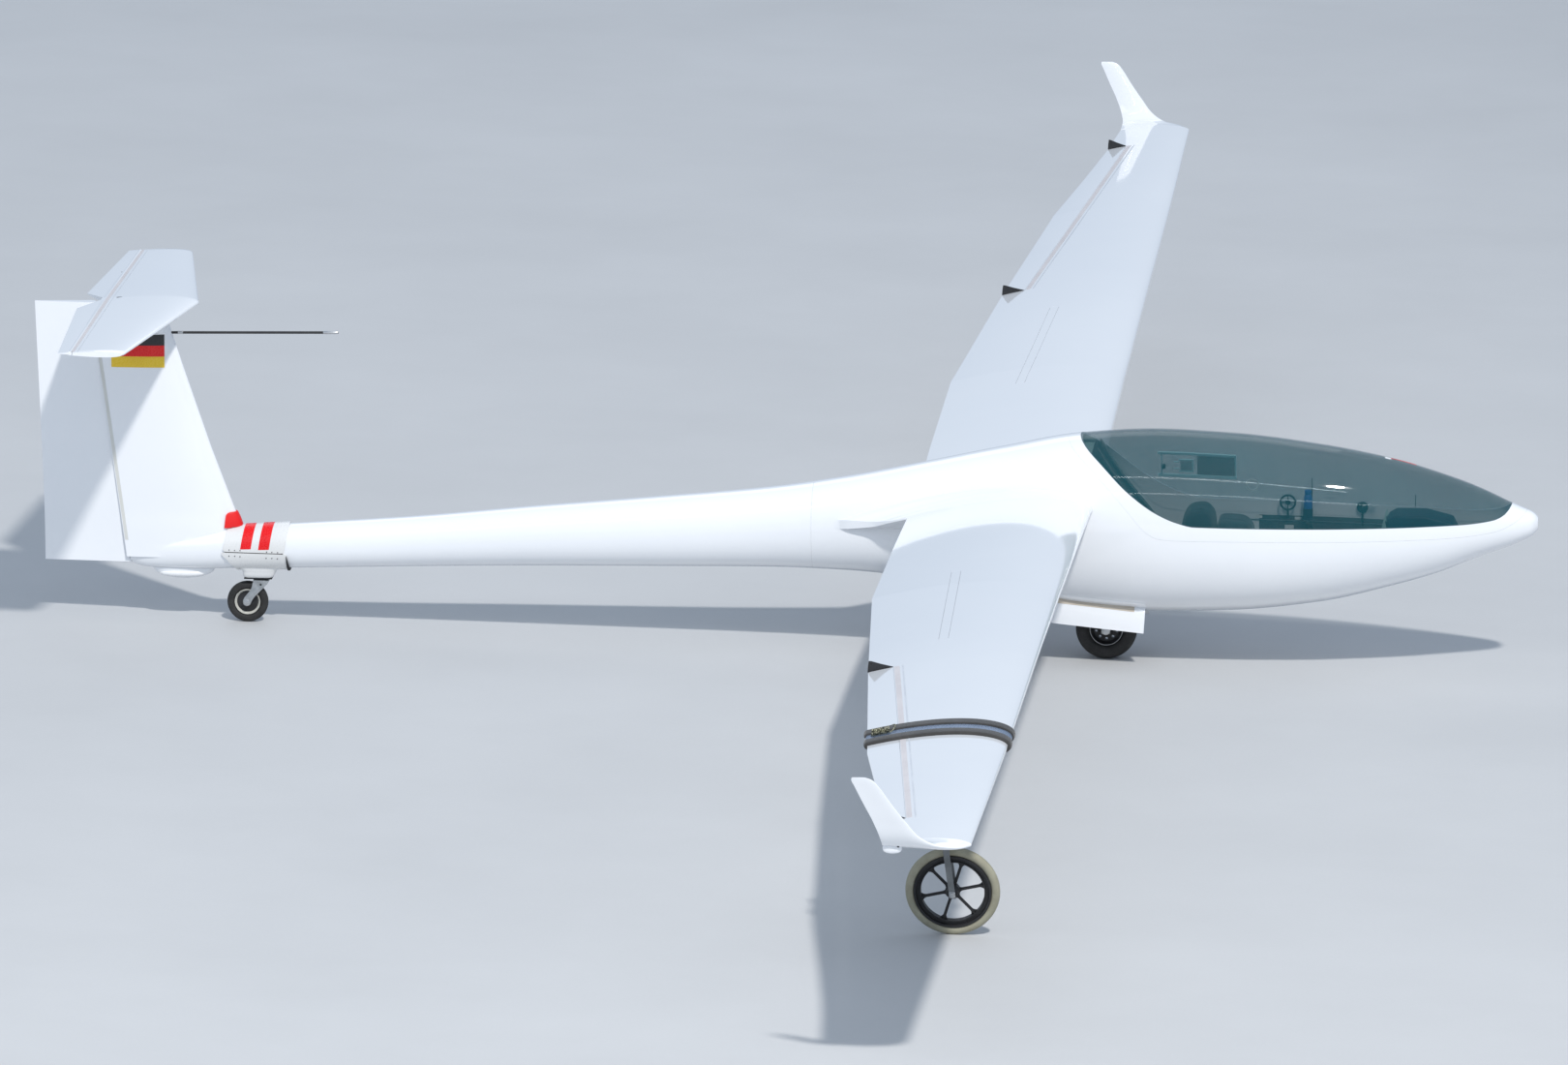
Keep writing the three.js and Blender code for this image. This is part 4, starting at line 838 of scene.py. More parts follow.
def buildPod():
    stations = bothStations(hull["podBack"], pod["noseBend"], pod["nose"], 96, 24)
    skin = closedSkin("pod_skin", toRow(hullRings(stations)), "gelcoat")
    left = fairingSkin("fairing")
    carve(skin, [left, twin(left, "fairingRight")], "UNION")
    inner = hullPart("inner", hull["bulkhead"], hull["cavityFront"], -hull["wall"])
    carve(inner, wellBox("wellCase", pod["wellWall"]))
    zone = aboveLine("zone", canopyLines["parting"], canopyLines["seam"])
    rear = box("rear", (900, hull["bulkhead"]), (-pod["wide"], pod["wide"]), (0, 2000))
    frontZone = twin(zone, "frontZone")
    carve(frontZone, rear, keep=True)
    # Behind the bulkhead only a shallow rebate is taken out, where the canopy's tail lies
    back, front = pod["rebate"]
    rebate = hullPart("rebate", back, front, pod["rebateLift"])
    carve(rebate, hullPart("core", back - 10, front + 10, -hull["frameWall"] - pod["rebateClear"]))
    carve(rebate, zone, "INTERSECT")
    carve(rebate, rear, "INTERSECT")
    carve(skin, [inner, frontZone, rebate, wellBox("well", 0)])
    settled(skin, "airframe", ["fuselage_pod"], 32)


buildPod()
print("stage: pod")

canopy = {"back": 1200, "noseBend": 3180, "front": 3340, "coreBack": 1190, "coreFront": 3345}


def canopyShell(name, depth, look):
    stations = bothStations(canopy["back"], canopy["noseBend"], canopy["front"], 90, 26)
    skin = closedSkin(name, toRow(hullRings(stations)), look)
    return carve(skin, hullPart("core", canopy["coreBack"], canopy["coreFront"], -depth, 110))


def buildCanopy():
    border = canopyShell("canopy_border", hull["frameWall"], "gelcoat")
    carve(border, aboveLine("zone", canopyLines["parting"]), "INTERSECT")
    carve(border, aboveLine("hole", canopyLines["pane"]))
    settled(border, "canopy", ["canopy_frame"], 32)
    glass = canopyShell("canopy_glass", hull["paneWall"], "pane")
    carve(glass, aboveLine("hole", canopyLines["pane"], canopyLines["paneOverlap"]), "INTERSECT")
    settled(glass, "canopy", ["canopy_pane"], 32)


buildCanopy()
print("stage: canopy")

# Fin sections: z, x of the leading edge, x of the rudder's trailing edge, half thickness. The hinge is x and z
fin = {
    "table": [
        (400, -2436, -3362, 58), (540, -2468, -3362, 54), (600, -2490, -3363, 50), (900, -2600, -3370, 44),
        (1250, -2716, -3381, 38), (1461, -2784, -3388, 34), (1530, -2806, -3390, 32), (1560, -2816, -3391, 31),
    ],
    "hinge": ((-2984, 372), (-3140, 1560)), "nose": 26, "side": 40, "depth": 0.1, "cutLow": 300, "cutHigh": 1700,
    "noseGap": 5, "hingeGap": 2, "behind": -3500, "top": 1562, "even": 600,
}


def finRings(zs, grow):
    # A section of one thickness, widened to the table's half thickness
    lead, trail, half = (v[:, None] for v in straight(fin["table"], zs).T)
    u, h, way = foil(np.full(len(zs), fin["depth"]), 0.0, fin["side"])
    wide = np.abs(h) / (fin["depth"] / 2) * half
    return spotsOf(lead - u * (lead - trail), way * wide + way * grow, np.asarray(zs, float)[:, None])


def finBody(low, high, count, grow=0.0):
    return closedSkin("finBody", toRow(finRings(np.linspace(low, high, count), grow)))


def hingeRod():
    # A straight rod of circles along the sloping hinge line
    zs = np.array([fin["cutLow"], fin["cutHigh"]], float)[:, None]
    a, radius = circle(48), fin["nose"] + fin["noseGap"]
    return closedSkin("rod", toRow(spotsOf(onLine(fin["hinge"], zs) + radius * np.cos(a), radius * np.sin(a), zs)))


def behindHinge():
    low, high = fin["cutLow"], fin["cutHigh"]
    outline = [(onLine(fin["hinge"], z) + fin["hingeGap"], z) for z in (low, high)]
    return slab("behind", outline + [(fin["behind"], high), (fin["behind"], low)], -200, 200)


# Tailplane sections: y, x of the leading edge, x of the trailing edge, thickness over chord
tail = {
    "table": [
        (-1134, -2836, -3123, 0.09), (-1110, -2826, -3124, 0.105), (0, -2648, -3186, 0.115),
        (1110, -2826, -3124, 0.105), (1134, -2836, -3123, 0.09),
    ],
    "z": 1562, "hinge": -3070, "side": 40, "half": 1134, "nose": 15, "noseFall": 6,
    "cutBack": -3400, "cutZ": (1400, 1700), "notch": [(-3088, -26), (-3088, 26), (-3200, 200), (-3200, -200)],
}


def tailSkin(name, look=None, grow=0.0):
    ys = np.array([-1134, -1128, -1120, -1110, *np.linspace(-1090, -20, 24), 0, *np.linspace(20, 1090, 24),
                   1110, 1120, 1128, 1134], float)
    lead, trail, depth = straight(tail["table"], ys).T
    middle = np.full(len(ys), float(tail["z"]))
    return closedSkin(name, toRow(foilRings(ys, lead, trail, middle, middle, depth, 0.0, grow, tail["side"])), look)


def elevatorNose(grow, reach):
    # Circles about the elevator's hinge, their radius falling with distance from the middle
    ys = np.array([-reach, 0, reach], float)[:, None]
    r, a = tail["nose"] - tail["noseFall"] * np.abs(ys) / tail["half"] + grow, circle(40)
    return closedSkin("nose", toRow(spotsOf(tail["hinge"] + r * np.cos(a), ys, tail["z"] + r * np.sin(a))))


def behindTail(name, front, half):
    return box(name, (tail["cutBack"], front), (-half, half), tail["cutZ"])


def buildBoom():
    boom = hullPart("boom_skin", hull["back"], hull["podBack"] - 0.5, 0, 120, 96, "gelcoat")
    body = finBody(400, 1560, 60)
    carve(body, [behindHinge(), hingeRod()])
    carve(boom, body, "UNION")
    carve(boom, [hingeRod(), box("underElevator", (-3300, -3036), (-100, 100), (1530, 1700)),
                 tailSkin("seat", grow=0.5), box("aboveTail", (-3300, -2700), (-100, 100), (tail["z"], 1700))])
    settled(boom, "airframe", ["tail_boom_and_fin"], 32)


buildBoom()
print("stage: boom and fin")


def buildRudder():
    # Each section: a half circle about the hinge, then a straight taper to a thin trailing edge
    zs = np.linspace(fin["hinge"][0][1], fin["top"], 50)
    trail = straight(fin["table"], zs)[:, 1]
    lead, half = straight(fin["table"], np.maximum(zs, fin["even"])).T[[0, 2]]
    axis = onLine(fin["hinge"], zs)
    wide = half / 0.5 * 5 * foilHalf((axis - lead) / (trail - lead))
    r = np.minimum(wide, fin["nose"])[:, None]
    a = -np.pi / 2 + np.pi * np.arange(25) / 24
    t = np.linspace(0, 1, 15)[1:]
    backX = axis[:, None] + (trail - axis)[:, None] * t
    backY = r * (1 - t) ** 0.9 + 1.5 * t
    x = np.concatenate([axis[:, None] + r * np.cos(a), backX, backX[:, ::-1]], 1)
    y = np.concatenate([r * np.sin(a), backY, -backY[:, ::-1]], 1)
    skin = closedSkin("rudder_skin", toRow(spotsOf(x, y, zs[:, None])), "gelcoat")
    settled(skin, "rudder", ["rudder"], 30)


def buildTailplane():
    front, back = tailSkin("tailplane_skin", "gelcoat"), tailSkin("elevator_skin", "gelcoat")
    carve(front, [behindTail("behind", tail["hinge"] + 1, 1300), elevatorNose(4, 1200)])
    settled(front, "airframe", ["tailplane"], 32)
    carve(back, behindTail("back", tail["hinge"], 1300), "INTERSECT")
    carve(back, elevatorNose(0, 1125), "UNION")
    carve(back, behindTail("span", -3000, 1126), "INTERSECT")
    carve(back, slab("notch", tail["notch"], *tail["cutZ"], 2))
    settled(back, "elevator", ["elevator"], 32)


buildRudder()
buildTailplane()
print("stage: rudder, tailplane and elevator")


def alongWing(name, x, ys, corners):
    # Corners ahead of and above a line on the wing's top, carried along that line
    top = wingTopAt(x, ys)
    return closedSkin(name, toRow(np.stack([spotsOf(x + dx, ys, top + dz) for dx, dz in corners], 1)))


def bay(inset, gap, slope):
    # What lies behind the aileron's hinge line, between the wing's two hinge ends
    ys = np.linspace(wing["hinge"][0][1] + inset, wing["hinge"][1][1] - inset, 12)
    above, below, behind = wing["above"], wing["below"], wing["behind"]
    corners = [(0, above), (0, 0), (-slope * below, -below), (-behind, -below), (-behind, above)]
    return alongWing("bay", onLine(wing["hinge"], ys) - gap, ys, corners)


def brakeBox(name, inset, x0, x1, down, up):
    ys = np.linspace(wing["brake"][0][1] + inset, wing["brake"][1][1] - inset, 12)
    return alongWing(name, onLine(wing["brake"], ys), ys, [(x1, -down), (x1, up), (x0, up), (x0, -down)])


def wingSkin(name):
    sections = [row[0] for row in wing["table"]]
    ys = np.unique(np.concatenate([np.linspace(sections[0], sections[-1], wing["stations"]), sections]))
    return closedSkin(name, toRow(foilRings(ys, *wingRow(ys), wing["camber"])), "gelcoat")


def buildWings():
    main = wingSkin("wing")
    carve(main, bay(-wing["plate"] - wing["seam"], 0, 0))
    carve(main, brakeBox("slot", *wing["slot"]))
    bothSides(main, "wing_skin", "airframe", ["wing_{}"])
    flap = carve(wingSkin("flap"), bay(wing["flapInset"], wing["flapGap"], wing["flapSlope"]), "INTERSECT")
    bothSides(flap, "aileron_skin", "aileron_{}", ["aileron_{}"])
    lid = carve(wingSkin("lid"), brakeBox("zone", *wing["lid"]), "INTERSECT")
    carve(lid, brakeBox("blade", *wing["blade"]), "UNION")
    bothSides(lid, "airbrake_lid", "airbrake_upper_{}", ["airbrake_upper_{}"])


buildWings()
print("stage: wings, ailerons and airbrakes")

winglet = {
    # Sections: y, z, x of the leading edge, x of the trailing edge, cant in degrees, thickness over chord
    "table": [
        (7309.8, 982, 1375, 1030, 0, 0.11), (7372, 988, 1338, 1032, 14, 0.1), (7412, 1004, 1252, 1034, 42, 0.1),
        (7436, 1040, 1186, 1026, 68, 0.1), (7456, 1110, 1128, 1000, 78, 0.09), (7474, 1190, 1070, 962, 80, 0.09),
        (7488, 1256, 1026, 932, 82, 0.09), (7494, 1284, 1000, 920, 84, 0.08), (7496, 1293, 975, 922, 84, 0.06),
    ],
    "camber": 0.02, "side": 36, "stations": 64, "skid": (1072, 7396, 987), "skidReach": (38, 10, 22),
    "hole": [(1096, 7398, 1002), (1096, 7407.6, 994.8)], "holeRadius": 4.2,
}


def buildWinglets():
    # Each section stands square to the blade's own bend: its thickness is laid out along the cant
    rows = np.array(winglet["table"], float)
    run = np.concatenate([[0], np.cumsum(np.hypot(np.diff(rows[:, 0]), np.diff(rows[:, 1])))])
    places = np.linspace(0, run[-1], winglet["stations"])
    y, z, lead, trail, cant, depth = through(np.column_stack([run, rows]).tolist(), places).T
    u, h = foil(depth, winglet["camber"], winglet["side"])[:2]
    chord, tilt = (lead - trail)[:, None], np.radians(cant)[:, None]
    rings = spotsOf(lead[:, None] - u * chord, y[:, None] - h * chord * np.sin(tilt),
                    z[:, None] + h * chord * np.cos(tilt))
    blade = closedSkin("blade", toRow(rings), "gelcoat")
    carve(blade, ball("skid", winglet["skid"], winglet["skidReach"], power=0.8), "UNION")
    bothSides(blade, "winglet_skin", "airframe", ["winglet_{}"])
    start, end = winglet["hole"]
    hole = rods("hole", [start], [end], winglet["holeRadius"], "blackPaint")
    bothSides(hole, "winglet_pin_hole", "airframe", [])


# Two strips ahead of the aileron's hinge line: a tape close to it, and a narrow grey line further ahead
tapes = {"inset": 2, "thick": 0.35, "lift": 0.25, "tape": (26, 3), "line": (43, 36)}


def wingStrip(name, front, back, look):
    # A thin strip on the wing's top, between two distances ahead of the hinge line
    (inner, outer), inset = (end[1] for end in wing["hinge"]), tapes["inset"]
    ys = np.linspace(inner + inset, outer - inset, 90)[:, None]
    x = onLine(wing["hinge"], ys) + front + (back - front) * np.linspace(0, 1, 7)[None]
    strip = openSheet(name, toRow(spotsOf(x, ys, wingTopAt(x, ys) + tapes["lift"])), look, 35, tapes["thick"])
    bothSides(strip, name, "airframe", [])


def buildTapes():
    wingStrip("hinge_tape", *tapes["tape"], "hingeTape")
    wingStrip("seam_line", *tapes["line"], "greyTape")
    for side in ("left", "right"):
        dress("aileron_plate_inner_" + side, "blackPaint")
        dress("aileron_plate_outer_" + side, "blackPaint")
        dress("airbrake_lower_" + side, "alloy")


buildWinglets()
buildTapes()
print("stage: winglets and hinge tapes")

strap = {
    # Profiles across the strap: place across it, height over the wing's skin
    "nearRidge": [(-135, 3), (-133, 9), (-124, 13.6), (-100, 15.4), (-76, 14.6), (-56, 12.6), (-48, 8.5), (-46.5, 3)],
    "farRidge": [(46.5, 3), (48, 8.5), (56, 12.6), (78, 14.2), (100, 14.6), (124, 13), (133, 9), (135, 3)],
    "base": [(-50, 1.2), (-48, 2.0), (0, 2.2), (48, 2.0), (50, 1.2)],
    "band": [(-48, 2.4), (-47, 5.6), (-30, 6.6), (0, 7.0), (30, 6.6), (47, 5.6), (48, 2.4)],
    "y": -5235, "side": 90, "fan": 12, "inside": 0.6, "bandInside": 2.3, "fill": 0.8, "blendReach": 26,
}


def strapRings(across):
    # Around the wing's section, pushed out square to it by the height; at the trailing edge the push turns
    # through half a circle about the middle of the edge
    across = np.asarray(across, float)
    ys = strap["y"] + across[:, 0]
    flat = foilRings(-ys, *wingRow(-ys), wing["camber"], 0.0, strap["side"])[..., [0, 2]]
    run = unitOf(np.gradient(flat, axis=1))
    out = np.stack([-run[..., 1], run[..., 0]], -1)
    middle = flat.mean(1, keepdims=True)
    out *= np.sign(((flat - middle) * out).sum(-1).mean(1))[:, None, None]
    fan = np.linspace(0, 1, strap["fan"] + 2)[1:-1][None, :, None]
    edge = flat[:, -1:] + (flat[:, :1] - flat[:, -1:]) * fan
    turn = np.pi * fan[..., 0]
    push = np.broadcast_to(np.stack([-np.sin(turn), -np.cos(turn)], -1), edge.shape)
    line, way = np.concatenate([flat, edge], 1), np.concatenate([out, push], 1)
    spots = line + way * across[:, 1][:, None, None]
    return spotsOf(spots[..., 0], ys[:, None], spots[..., 1])


def strapRun(name, crown, look, inside, dense=40):
    # A closed profile across the strap: the crown, then the flat underside lying on the wing
    crown = curveOn(crown, dense)
    under = np.column_stack([np.linspace(crown[-1, 0], crown[0, 0], 12), np.full(12, inside)])
    return loopSkin(name, toRow(strapRings(np.concatenate([crown, under]))), look, 60)


def hingeBlend(piece):
    # The strap's two ends either side of the aileron's hinge are worked out, and the piece's placing is baked into its
    # mesh
    y, reach = strap["y"], strap["blendReach"]
    x = onLine(wing["hinge"], -y)
    z = float(wingTopAt(x, -y))
    start, end = toRow([(x + reach, y, z), (x - reach, y, z)])
    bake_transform(piece)


def buildStrap():
    foam = strapRun("strap_foam", strap["nearRidge"], "ribFoam", strap["inside"])
    far = strapRun("far", strap["farRidge"], "ribFoam", strap["inside"])
    base = strapRun("base", strap["base"], "ribFoam", strap["inside"])
    for other in (far, base):
        mergeInto(foam, other)
    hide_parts("wing_cuff", "wing_strap_rear")
    hingeBlend(foam)
    bow = strapRun("strap_bow", strap["band"], "bowMetal", strap["bandInside"], 24)
    hingeBlend(bow)


lashing = {
    "thick": 4.6, "turns": 10, "pitch": 7.4, "radius": 13.2, "startX": 811, "y": 5235, "foot": 9.6,
    # The free end: distance ahead of the coil's last turn, distance out, height over the wing's skin
    "end": [(2, 5235, 9.4), (10, 5222, 9.6), (16, 5196, 14.5), (18, 5160, 16.0), (12, 5128, 14.9), (-6, 5098, 6.2),
            (-30, 5084, 2.0), (-52, 5092, 1.0), (-60, 5112, 0.7)],
    "core": 9.6, "coreShort": 3,
    # The bow's tip behind the coil: its root, how far it runs back, its half width and height there
    "tip": (808, 5235), "tipRun": 30, "tipWide": 6.5, "tipHigh": 4.5, "tipSlim": 0.7, "tipAt": 800,
    # The tab under it: distance behind or ahead of its own station, height against the wing's top
    "tab": (792, 5215), "tabThick": 4, "tabLine": [(22, -14), (20, -50), (-4, -52), (-6, -14)],
}


def onTop(x, y, lift):
    # A point over the right wing's top at a station ahead and a distance out, lifted off its skin
    x, y = np.asarray(x, float), np.asarray(y, float)
    return np.stack([x, -y, wingTopAt(x, y) + lift], -1)


def cordOf(path):
    # The length of a cord along its path, taken in the level frame
    placed = toRow(path)
    length = float(np.linalg.norm(np.diff(placed, axis=0), axis=1).sum())
    return length


def buildLashing():
    # A round coil lying along the strap's valley: x runs forward with the turn, y and z go round a circle; its
    # free end runs out over the far ridge in a flat curl on the aileron
    d = lashing
    reach, thick = d["radius"], d["thick"]
    turn = np.linspace(0, 2 * np.pi * d["turns"], d["turns"] * 26)
    x = d["startX"] + d["pitch"] * turn / (2 * np.pi)
    centre = wingTopAt(x, np.full_like(x, d["y"])) + d["foot"] + reach
    coil = np.stack([x, -d["y"] + reach * np.sin(turn), centre - reach * np.cos(turn)], -1)
    rest = np.stack([onTop(x[-1] + ahead, y, lift + thick / 2) for ahead, y, lift in d["end"]])
    path = curveOn(np.concatenate([coil, curveOn(rest, 70)[2:]]), 520)
    cord = trim(tube("strap_cord", path, thick / 2, "camoCord", 12), "aileron_right")
    half = d["pitch"] * d["turns"] / 2
    core = ball("strap_cord_core", (d["startX"] + half, -d["y"], float(centre.mean())),
                (half - d["coreShort"], d["core"], d["core"]), "camoCord", 30, 40, power=0.7)
    trim(core, "aileron_right")
    print("stage: lashing cord,", round(cordOf(path), 3), "m")
    x, y = d["tip"]
    z = float(wingTopAt(d["tipAt"], y))
    u, a = np.linspace(0, 1, 6)[:, None], circle(20)[None]
    slim = 1 - d["tipSlim"] * u
    spots = spotsOf(x - d["tipRun"] * u, -y + d["tipWide"] * slim * np.cos(a), z + d["tipHigh"] * slim * np.sin(a))
    trim(closedSkin("bow_tip", toRow(spots), "alloy"), "aileron_right")
    x, y = d["tab"]
    outline = cutCorners([(x + dx, z + dz) for dx, dz in d["tabLine"]])
    trim(bevel(slab("bow_tab", outline, -y - d["tabThick"], -y, 1, "armGrey"), 0.0012), "aileron_right")


stand = {
    "lean": 0.18, "x": 1125.0, "y": -5000.0, "radius": 195.0, "tube": 19.0, "lift": 0.3,
    # The tyre's ribs: how many, how high, how far each bends, and where on the profile they end
    "ribs": 150, "ribHigh": 0.32, "ribBend": 5, "ribEnd": -0.6,
    # Closed profiles of (radius, distance along the axle)
    "rim": [(161, -16.4), (160, -11), (157.6, -5), (157.6, 5), (160, 11), (161, 16.4), (160, 17.6), (151, 17),
            (149, 5.5), (137, 5.5), (135.5, 12.5), (131, 12.5), (131, -12.5), (135.5, -12.5), (137, -5.5),
            (149, -5.5), (151, -17), (160, -17.6)],
    "hub": [(8.6, -30), (20, -30), (24, -27), (26, -15), (31, -12)],
    # A spoke: its inner and outer radius, and half widths and half depths of its cross
    "spokes": 6, "spokeTurn": 0.22, "spokeIn": 28, "spokeOut": 133, "flange": 6.0, "flangeHalf": 3, "web": 2.6,
    "webFoot": 3.4, "webDeep": 11.5, "webHollow": 2.5, "rimFlare": (15, 0.78, 0.22), "hubFlare": (6, 0.14),
    # Half side of the washer, its two faces and the nut's end along the axle, and the nut's radius
    "washer": 13, "washerFaces": (41.2, 44.0), "nutEnd": 51.0, "nut": 12.4,
    # The saddle's front end is drawn back under the wing, ahead of this station
    "saddleX": 1.0, "saddleReach": 0.375, "drawBack": 0.034, "drawDown": 0.15,
}


def onStand(spots):
    # Leaned about the x axis, then carried to the wheel's centre over the ground there
    spots = np.asarray(spots, float)
    c, s = math.cos(stand["lean"]), math.sin(stand["lean"])
    ground = -(stand["x"] - parked["wheelX"]) * math.tan(parked["pitch"])
    high = ground + (stand["radius"] - stand["tube"]) * c + stand["tube"] + stand["lift"]
    y = spots[..., 1] * c - spots[..., 2] * s + stand["y"]
    z = spots[..., 1] * s + spots[..., 2] * c + high
    return toRow(np.stack([spots[..., 0] + stand["x"], y, z], -1))


def standTread(turn, place):
    wave = np.sin(stand["ribs"] * turn + stand["ribBend"] * np.sin(place))
    return stand["ribHigh"] * wave * (np.cos(place) > stand["ribEnd"])


def spoke(turn):
    # A cross-shaped section carried outwards, its flat flange widening towards the hub and the rim
    t = np.linspace(0, 1, 26)
    reach = stand["spokeIn"] + (stand["spokeOut"] - stand["spokeIn"]) * t
    (outer, start, run), (inner, end) = stand["rimFlare"], stand["hubFlare"]
    wide = (stand["flange"] + outer * ((t - start) / run).clip(0, 1) ** 2
            + inner * ((end - t) / end).clip(0, 1) ** 2)
    deep = stand["webDeep"] - stand["webHollow"] * np.sin(np.pi * t)
    low, web, foot = stand["flangeHalf"], stand["web"], stand["webFoot"]
    section = [(wide, -low), (wide, low), (web, foot), (web, deep), (-web, deep), (-web, foot), (-wide, low),
               (-wide, -low), (-web, -foot), (-web, -deep), (web, -deep), (web, -foot)]
    rings = np.stack([spotsOf(reach * np.cos(turn) - w * np.sin(turn), d, reach * np.sin(turn) + w * np.cos(turn))
                      for w, d in section], 1)
    return closedSkin("spoke", onStand(rings))


def buildWingWheel():
    tread = bead(stand["radius"] - stand["tube"], 0, stand["tube"], 36)
    tyre = turnedSkin("wing_tyre", tread, (0, 0, 0), "tyreCream", stand["ribs"] * 6, onStand, 60, standTread)
    settled(tyre, "wing_wheel", ["wing_wheel_tyre"])
    rim = turnedSkin("wing_rim", stand["rim"], (0, 0, 0), "blackPlastic", 144, onStand, 30)
    mergeInto(rim, turnedSkin("hub", mirrored(stand["hub"]), (0, 0, 0), None, 72, onStand, 30))
    for k in range(stand["spokes"]):
        mergeInto(rim, spoke(2 * np.pi * k / stand["spokes"] + stand["spokeTurn"]))
    smooth(rim.data, 30)
    settled(rim, "wing_wheel", ["wing_wheel_rim"])
    half = stand["washer"]
    outline = cutCorners([(-half, -half), (half, -half), (half, half), (-half, half)], 0.12, 1)
    for side, which in ((-1, "near"), (1, "far")):
        low, high = sorted(side * face for face in stand["washerFaces"])
        washer = slab("axle_washer_" + which, outline, low, high, 1, "alloy", onStand)
        nut = [(0, side * at, 0) for at in (stand["washerFaces"][1], stand["nutEnd"])]
        mergeInto(washer, rods("nut", nut[:1], nut[1:], stand["nut"], None, 6, onStand))
        trim(bevel(washer, 0.0006, 2))
    dress("wing_wheel_fork", "armGrey")
    dress("wing_wheel_axle", "alloy")
    saddle = fromNode("wing_wheel_saddle", "stand_saddle", "blackFoam", 0.007)
    spots = vertexArray(saddle.data).astype(np.float32)
    ahead = ((spots[:, 0] - stand["saddleX"]) / stand["saddleReach"]).clip(0, 1) ** 2
    spots[:, 0] -= stand["drawBack"] * ahead
    spots[:, 2] -= stand["drawDown"] * stand["drawBack"] * ahead
    saddle.data.vertices.foreach_set("co", spots.ravel())
    settled(saddle, "airframe", ["wing_wheel_saddle"], 40)


buildStrap()
buildLashing()
buildWingWheel()
print("stage: wing strap and wing wheel")

dolly = {
    "back": -2560, "front": -2236, "lift": 8.0, "inside": 1.2, "low": 380, "finClear": 1.2, "finAhead": 6,
    # Outlines in side view: x and z
    "upper": [(-2520, 720), (-2524, 552), (-2545, 450), (-2541, 441), (-2532, 438.6), (-2282, 436.6), (-2270, 438),
              (-2266, 448), (-2245, 579), (-2240, 720)],
    "lower": [(-2549, 434.4), (-2550, 424), (-2528, 402), (-2478, 340), (-2478, 250), (-2262, 250), (-2257, 348),
              (-2256, 422), (-2260, 430), (-2268, 432.4)],
    "lip": [(-2256.4, 424), (-2251, 400), (-2246, 360), (-2249, 336), (-2256.4, 300)],
    # Next, a black foam sheet over the boom in the gap between the shells: painted shade, standing in for the shade in
    # that gap
    "shadeLiner": [(-2536, 452), (-2272, 450), (-2272, 418), (-2536, 420)],
    # Along the boom: rear and front end of each foam part, its height over the skin, and the hole through it
    "lipRun": (-2262, -2245.4, 13, 10), "lipHole": (-2280, -2230, 1.2, 12),
    "shadeLinerRun": (-2536, -2272, 5.6, 30), "shadeLinerHole": (-2570, -2240, 1.2, 30),
    "cap": [(-2541, 538), (-2534, 596), (-2528, 603), (-2518, 607.4), (-2486, 608), (-2300, 608), (-2300, 548),
            (-2440, 546), (-2462, 545.6), (-2478, 541.6), (-2492, 540.6), (-2500, 542.4), (-2512, 539),
            (-2528, 537.4)],
    # Under the lower shell: z, x of the rear, x of the front, half width
    "pad": [(404, -2530, -2270, 58), (384, -2524, -2272, 61), (366, -2500, -2284, 62), (350, -2471, -2303, 60),
            (338, -2462, -2311, 57), (322, -2461, -2319, 53), (313, -2459, -2325, 48), (309.4, -2451, -2332, 42)],
    "padPower": 0.32,
    # Stripes: x at the lower and the upper end, width; they run from one height to the other
    "stripes": [(-2465, -2449, 48), (-2383, -2368, 49)], "stripeZ": (452, 549),
    "rivets": [(-2515, 447), (-2490, 446), (-2465, 446), (-2344, 443), (-2320, 443), (-2294, 442),
               (-2516, 421), (-2490, 421), (-2466, 420), (-2347, 416), (-2321, 416), (-2296, 415)],
    "rivet": 2.5, "capZ": (532, 608), "capThick": 6.4, "capSwell": 3.4, "capFill": 0.7,
}


def region(outline):
    return slab("region", outline, -300, 300)


def buildDollyShells():
    back, front, inside = dolly["back"], dolly["front"], dolly["inside"]
    upper = hullPart("dolly_upper_shell", back, front, dolly["lift"], 60, 144, "shellWhite")
    hole = hullPart("hole", back - 10, front + 10, inside, 44)
    fins = finRings(np.linspace(dolly["low"], 1000, 40), dolly["finClear"])
    fins[..., 0] += dolly["finAhead"]
    carve(upper, [hole, closedSkin("finBody", toRow(fins))])
    carve(upper, region(dolly["upper"]), "INTERSECT")
    settled(upper, "airframe", ["dolly_shell_upper"], 35)
    lower = hullPart("dolly_lower_shell", back, front, dolly["lift"], 60, 144, "shellWhite")
    carve(lower, region(dolly["lower"]), "INTERSECT")
    # The pad under it: rounded rectangles at falling heights, drawn in towards the swivel
    zs = np.linspace(dolly["pad"][-1][0], dolly["pad"][0][0], 40)
    x0, x1, half = through(dolly["pad"], zs).T[:, :, None]
    a, power = circle(72), dolly["padPower"]
    x = (x0 + x1) / 2 + (x1 - x0) / 2 * signedPower(np.cos(a), power)
    pad = closedSkin("pad", toRow(spotsOf(x, half * signedPower(np.sin(a), power), zs[:, None])))
    carve(lower, pad, "UNION")
    carve(lower, hullPart("hole", back - 10, front + 10, inside, 44))
    settled(lower, "airframe", ["dolly_shell_lower"], 35)
    # The second foam part is painted shade: black foam in the gap between the shells, where that gap lies in shade
    for part, stands in (("lip", ["dolly_foam_lip"]), ("shadeLiner", ())):
        foam = hullPart("dolly_" + part, *dolly[part + "Run"], look="blackFoam")
        carve(foam, hullPart("hole", *dolly[part + "Hole"]))
        carve(foam, region(dolly[part]), "INTERSECT")
        settled(foam, "airframe", stands, 40)


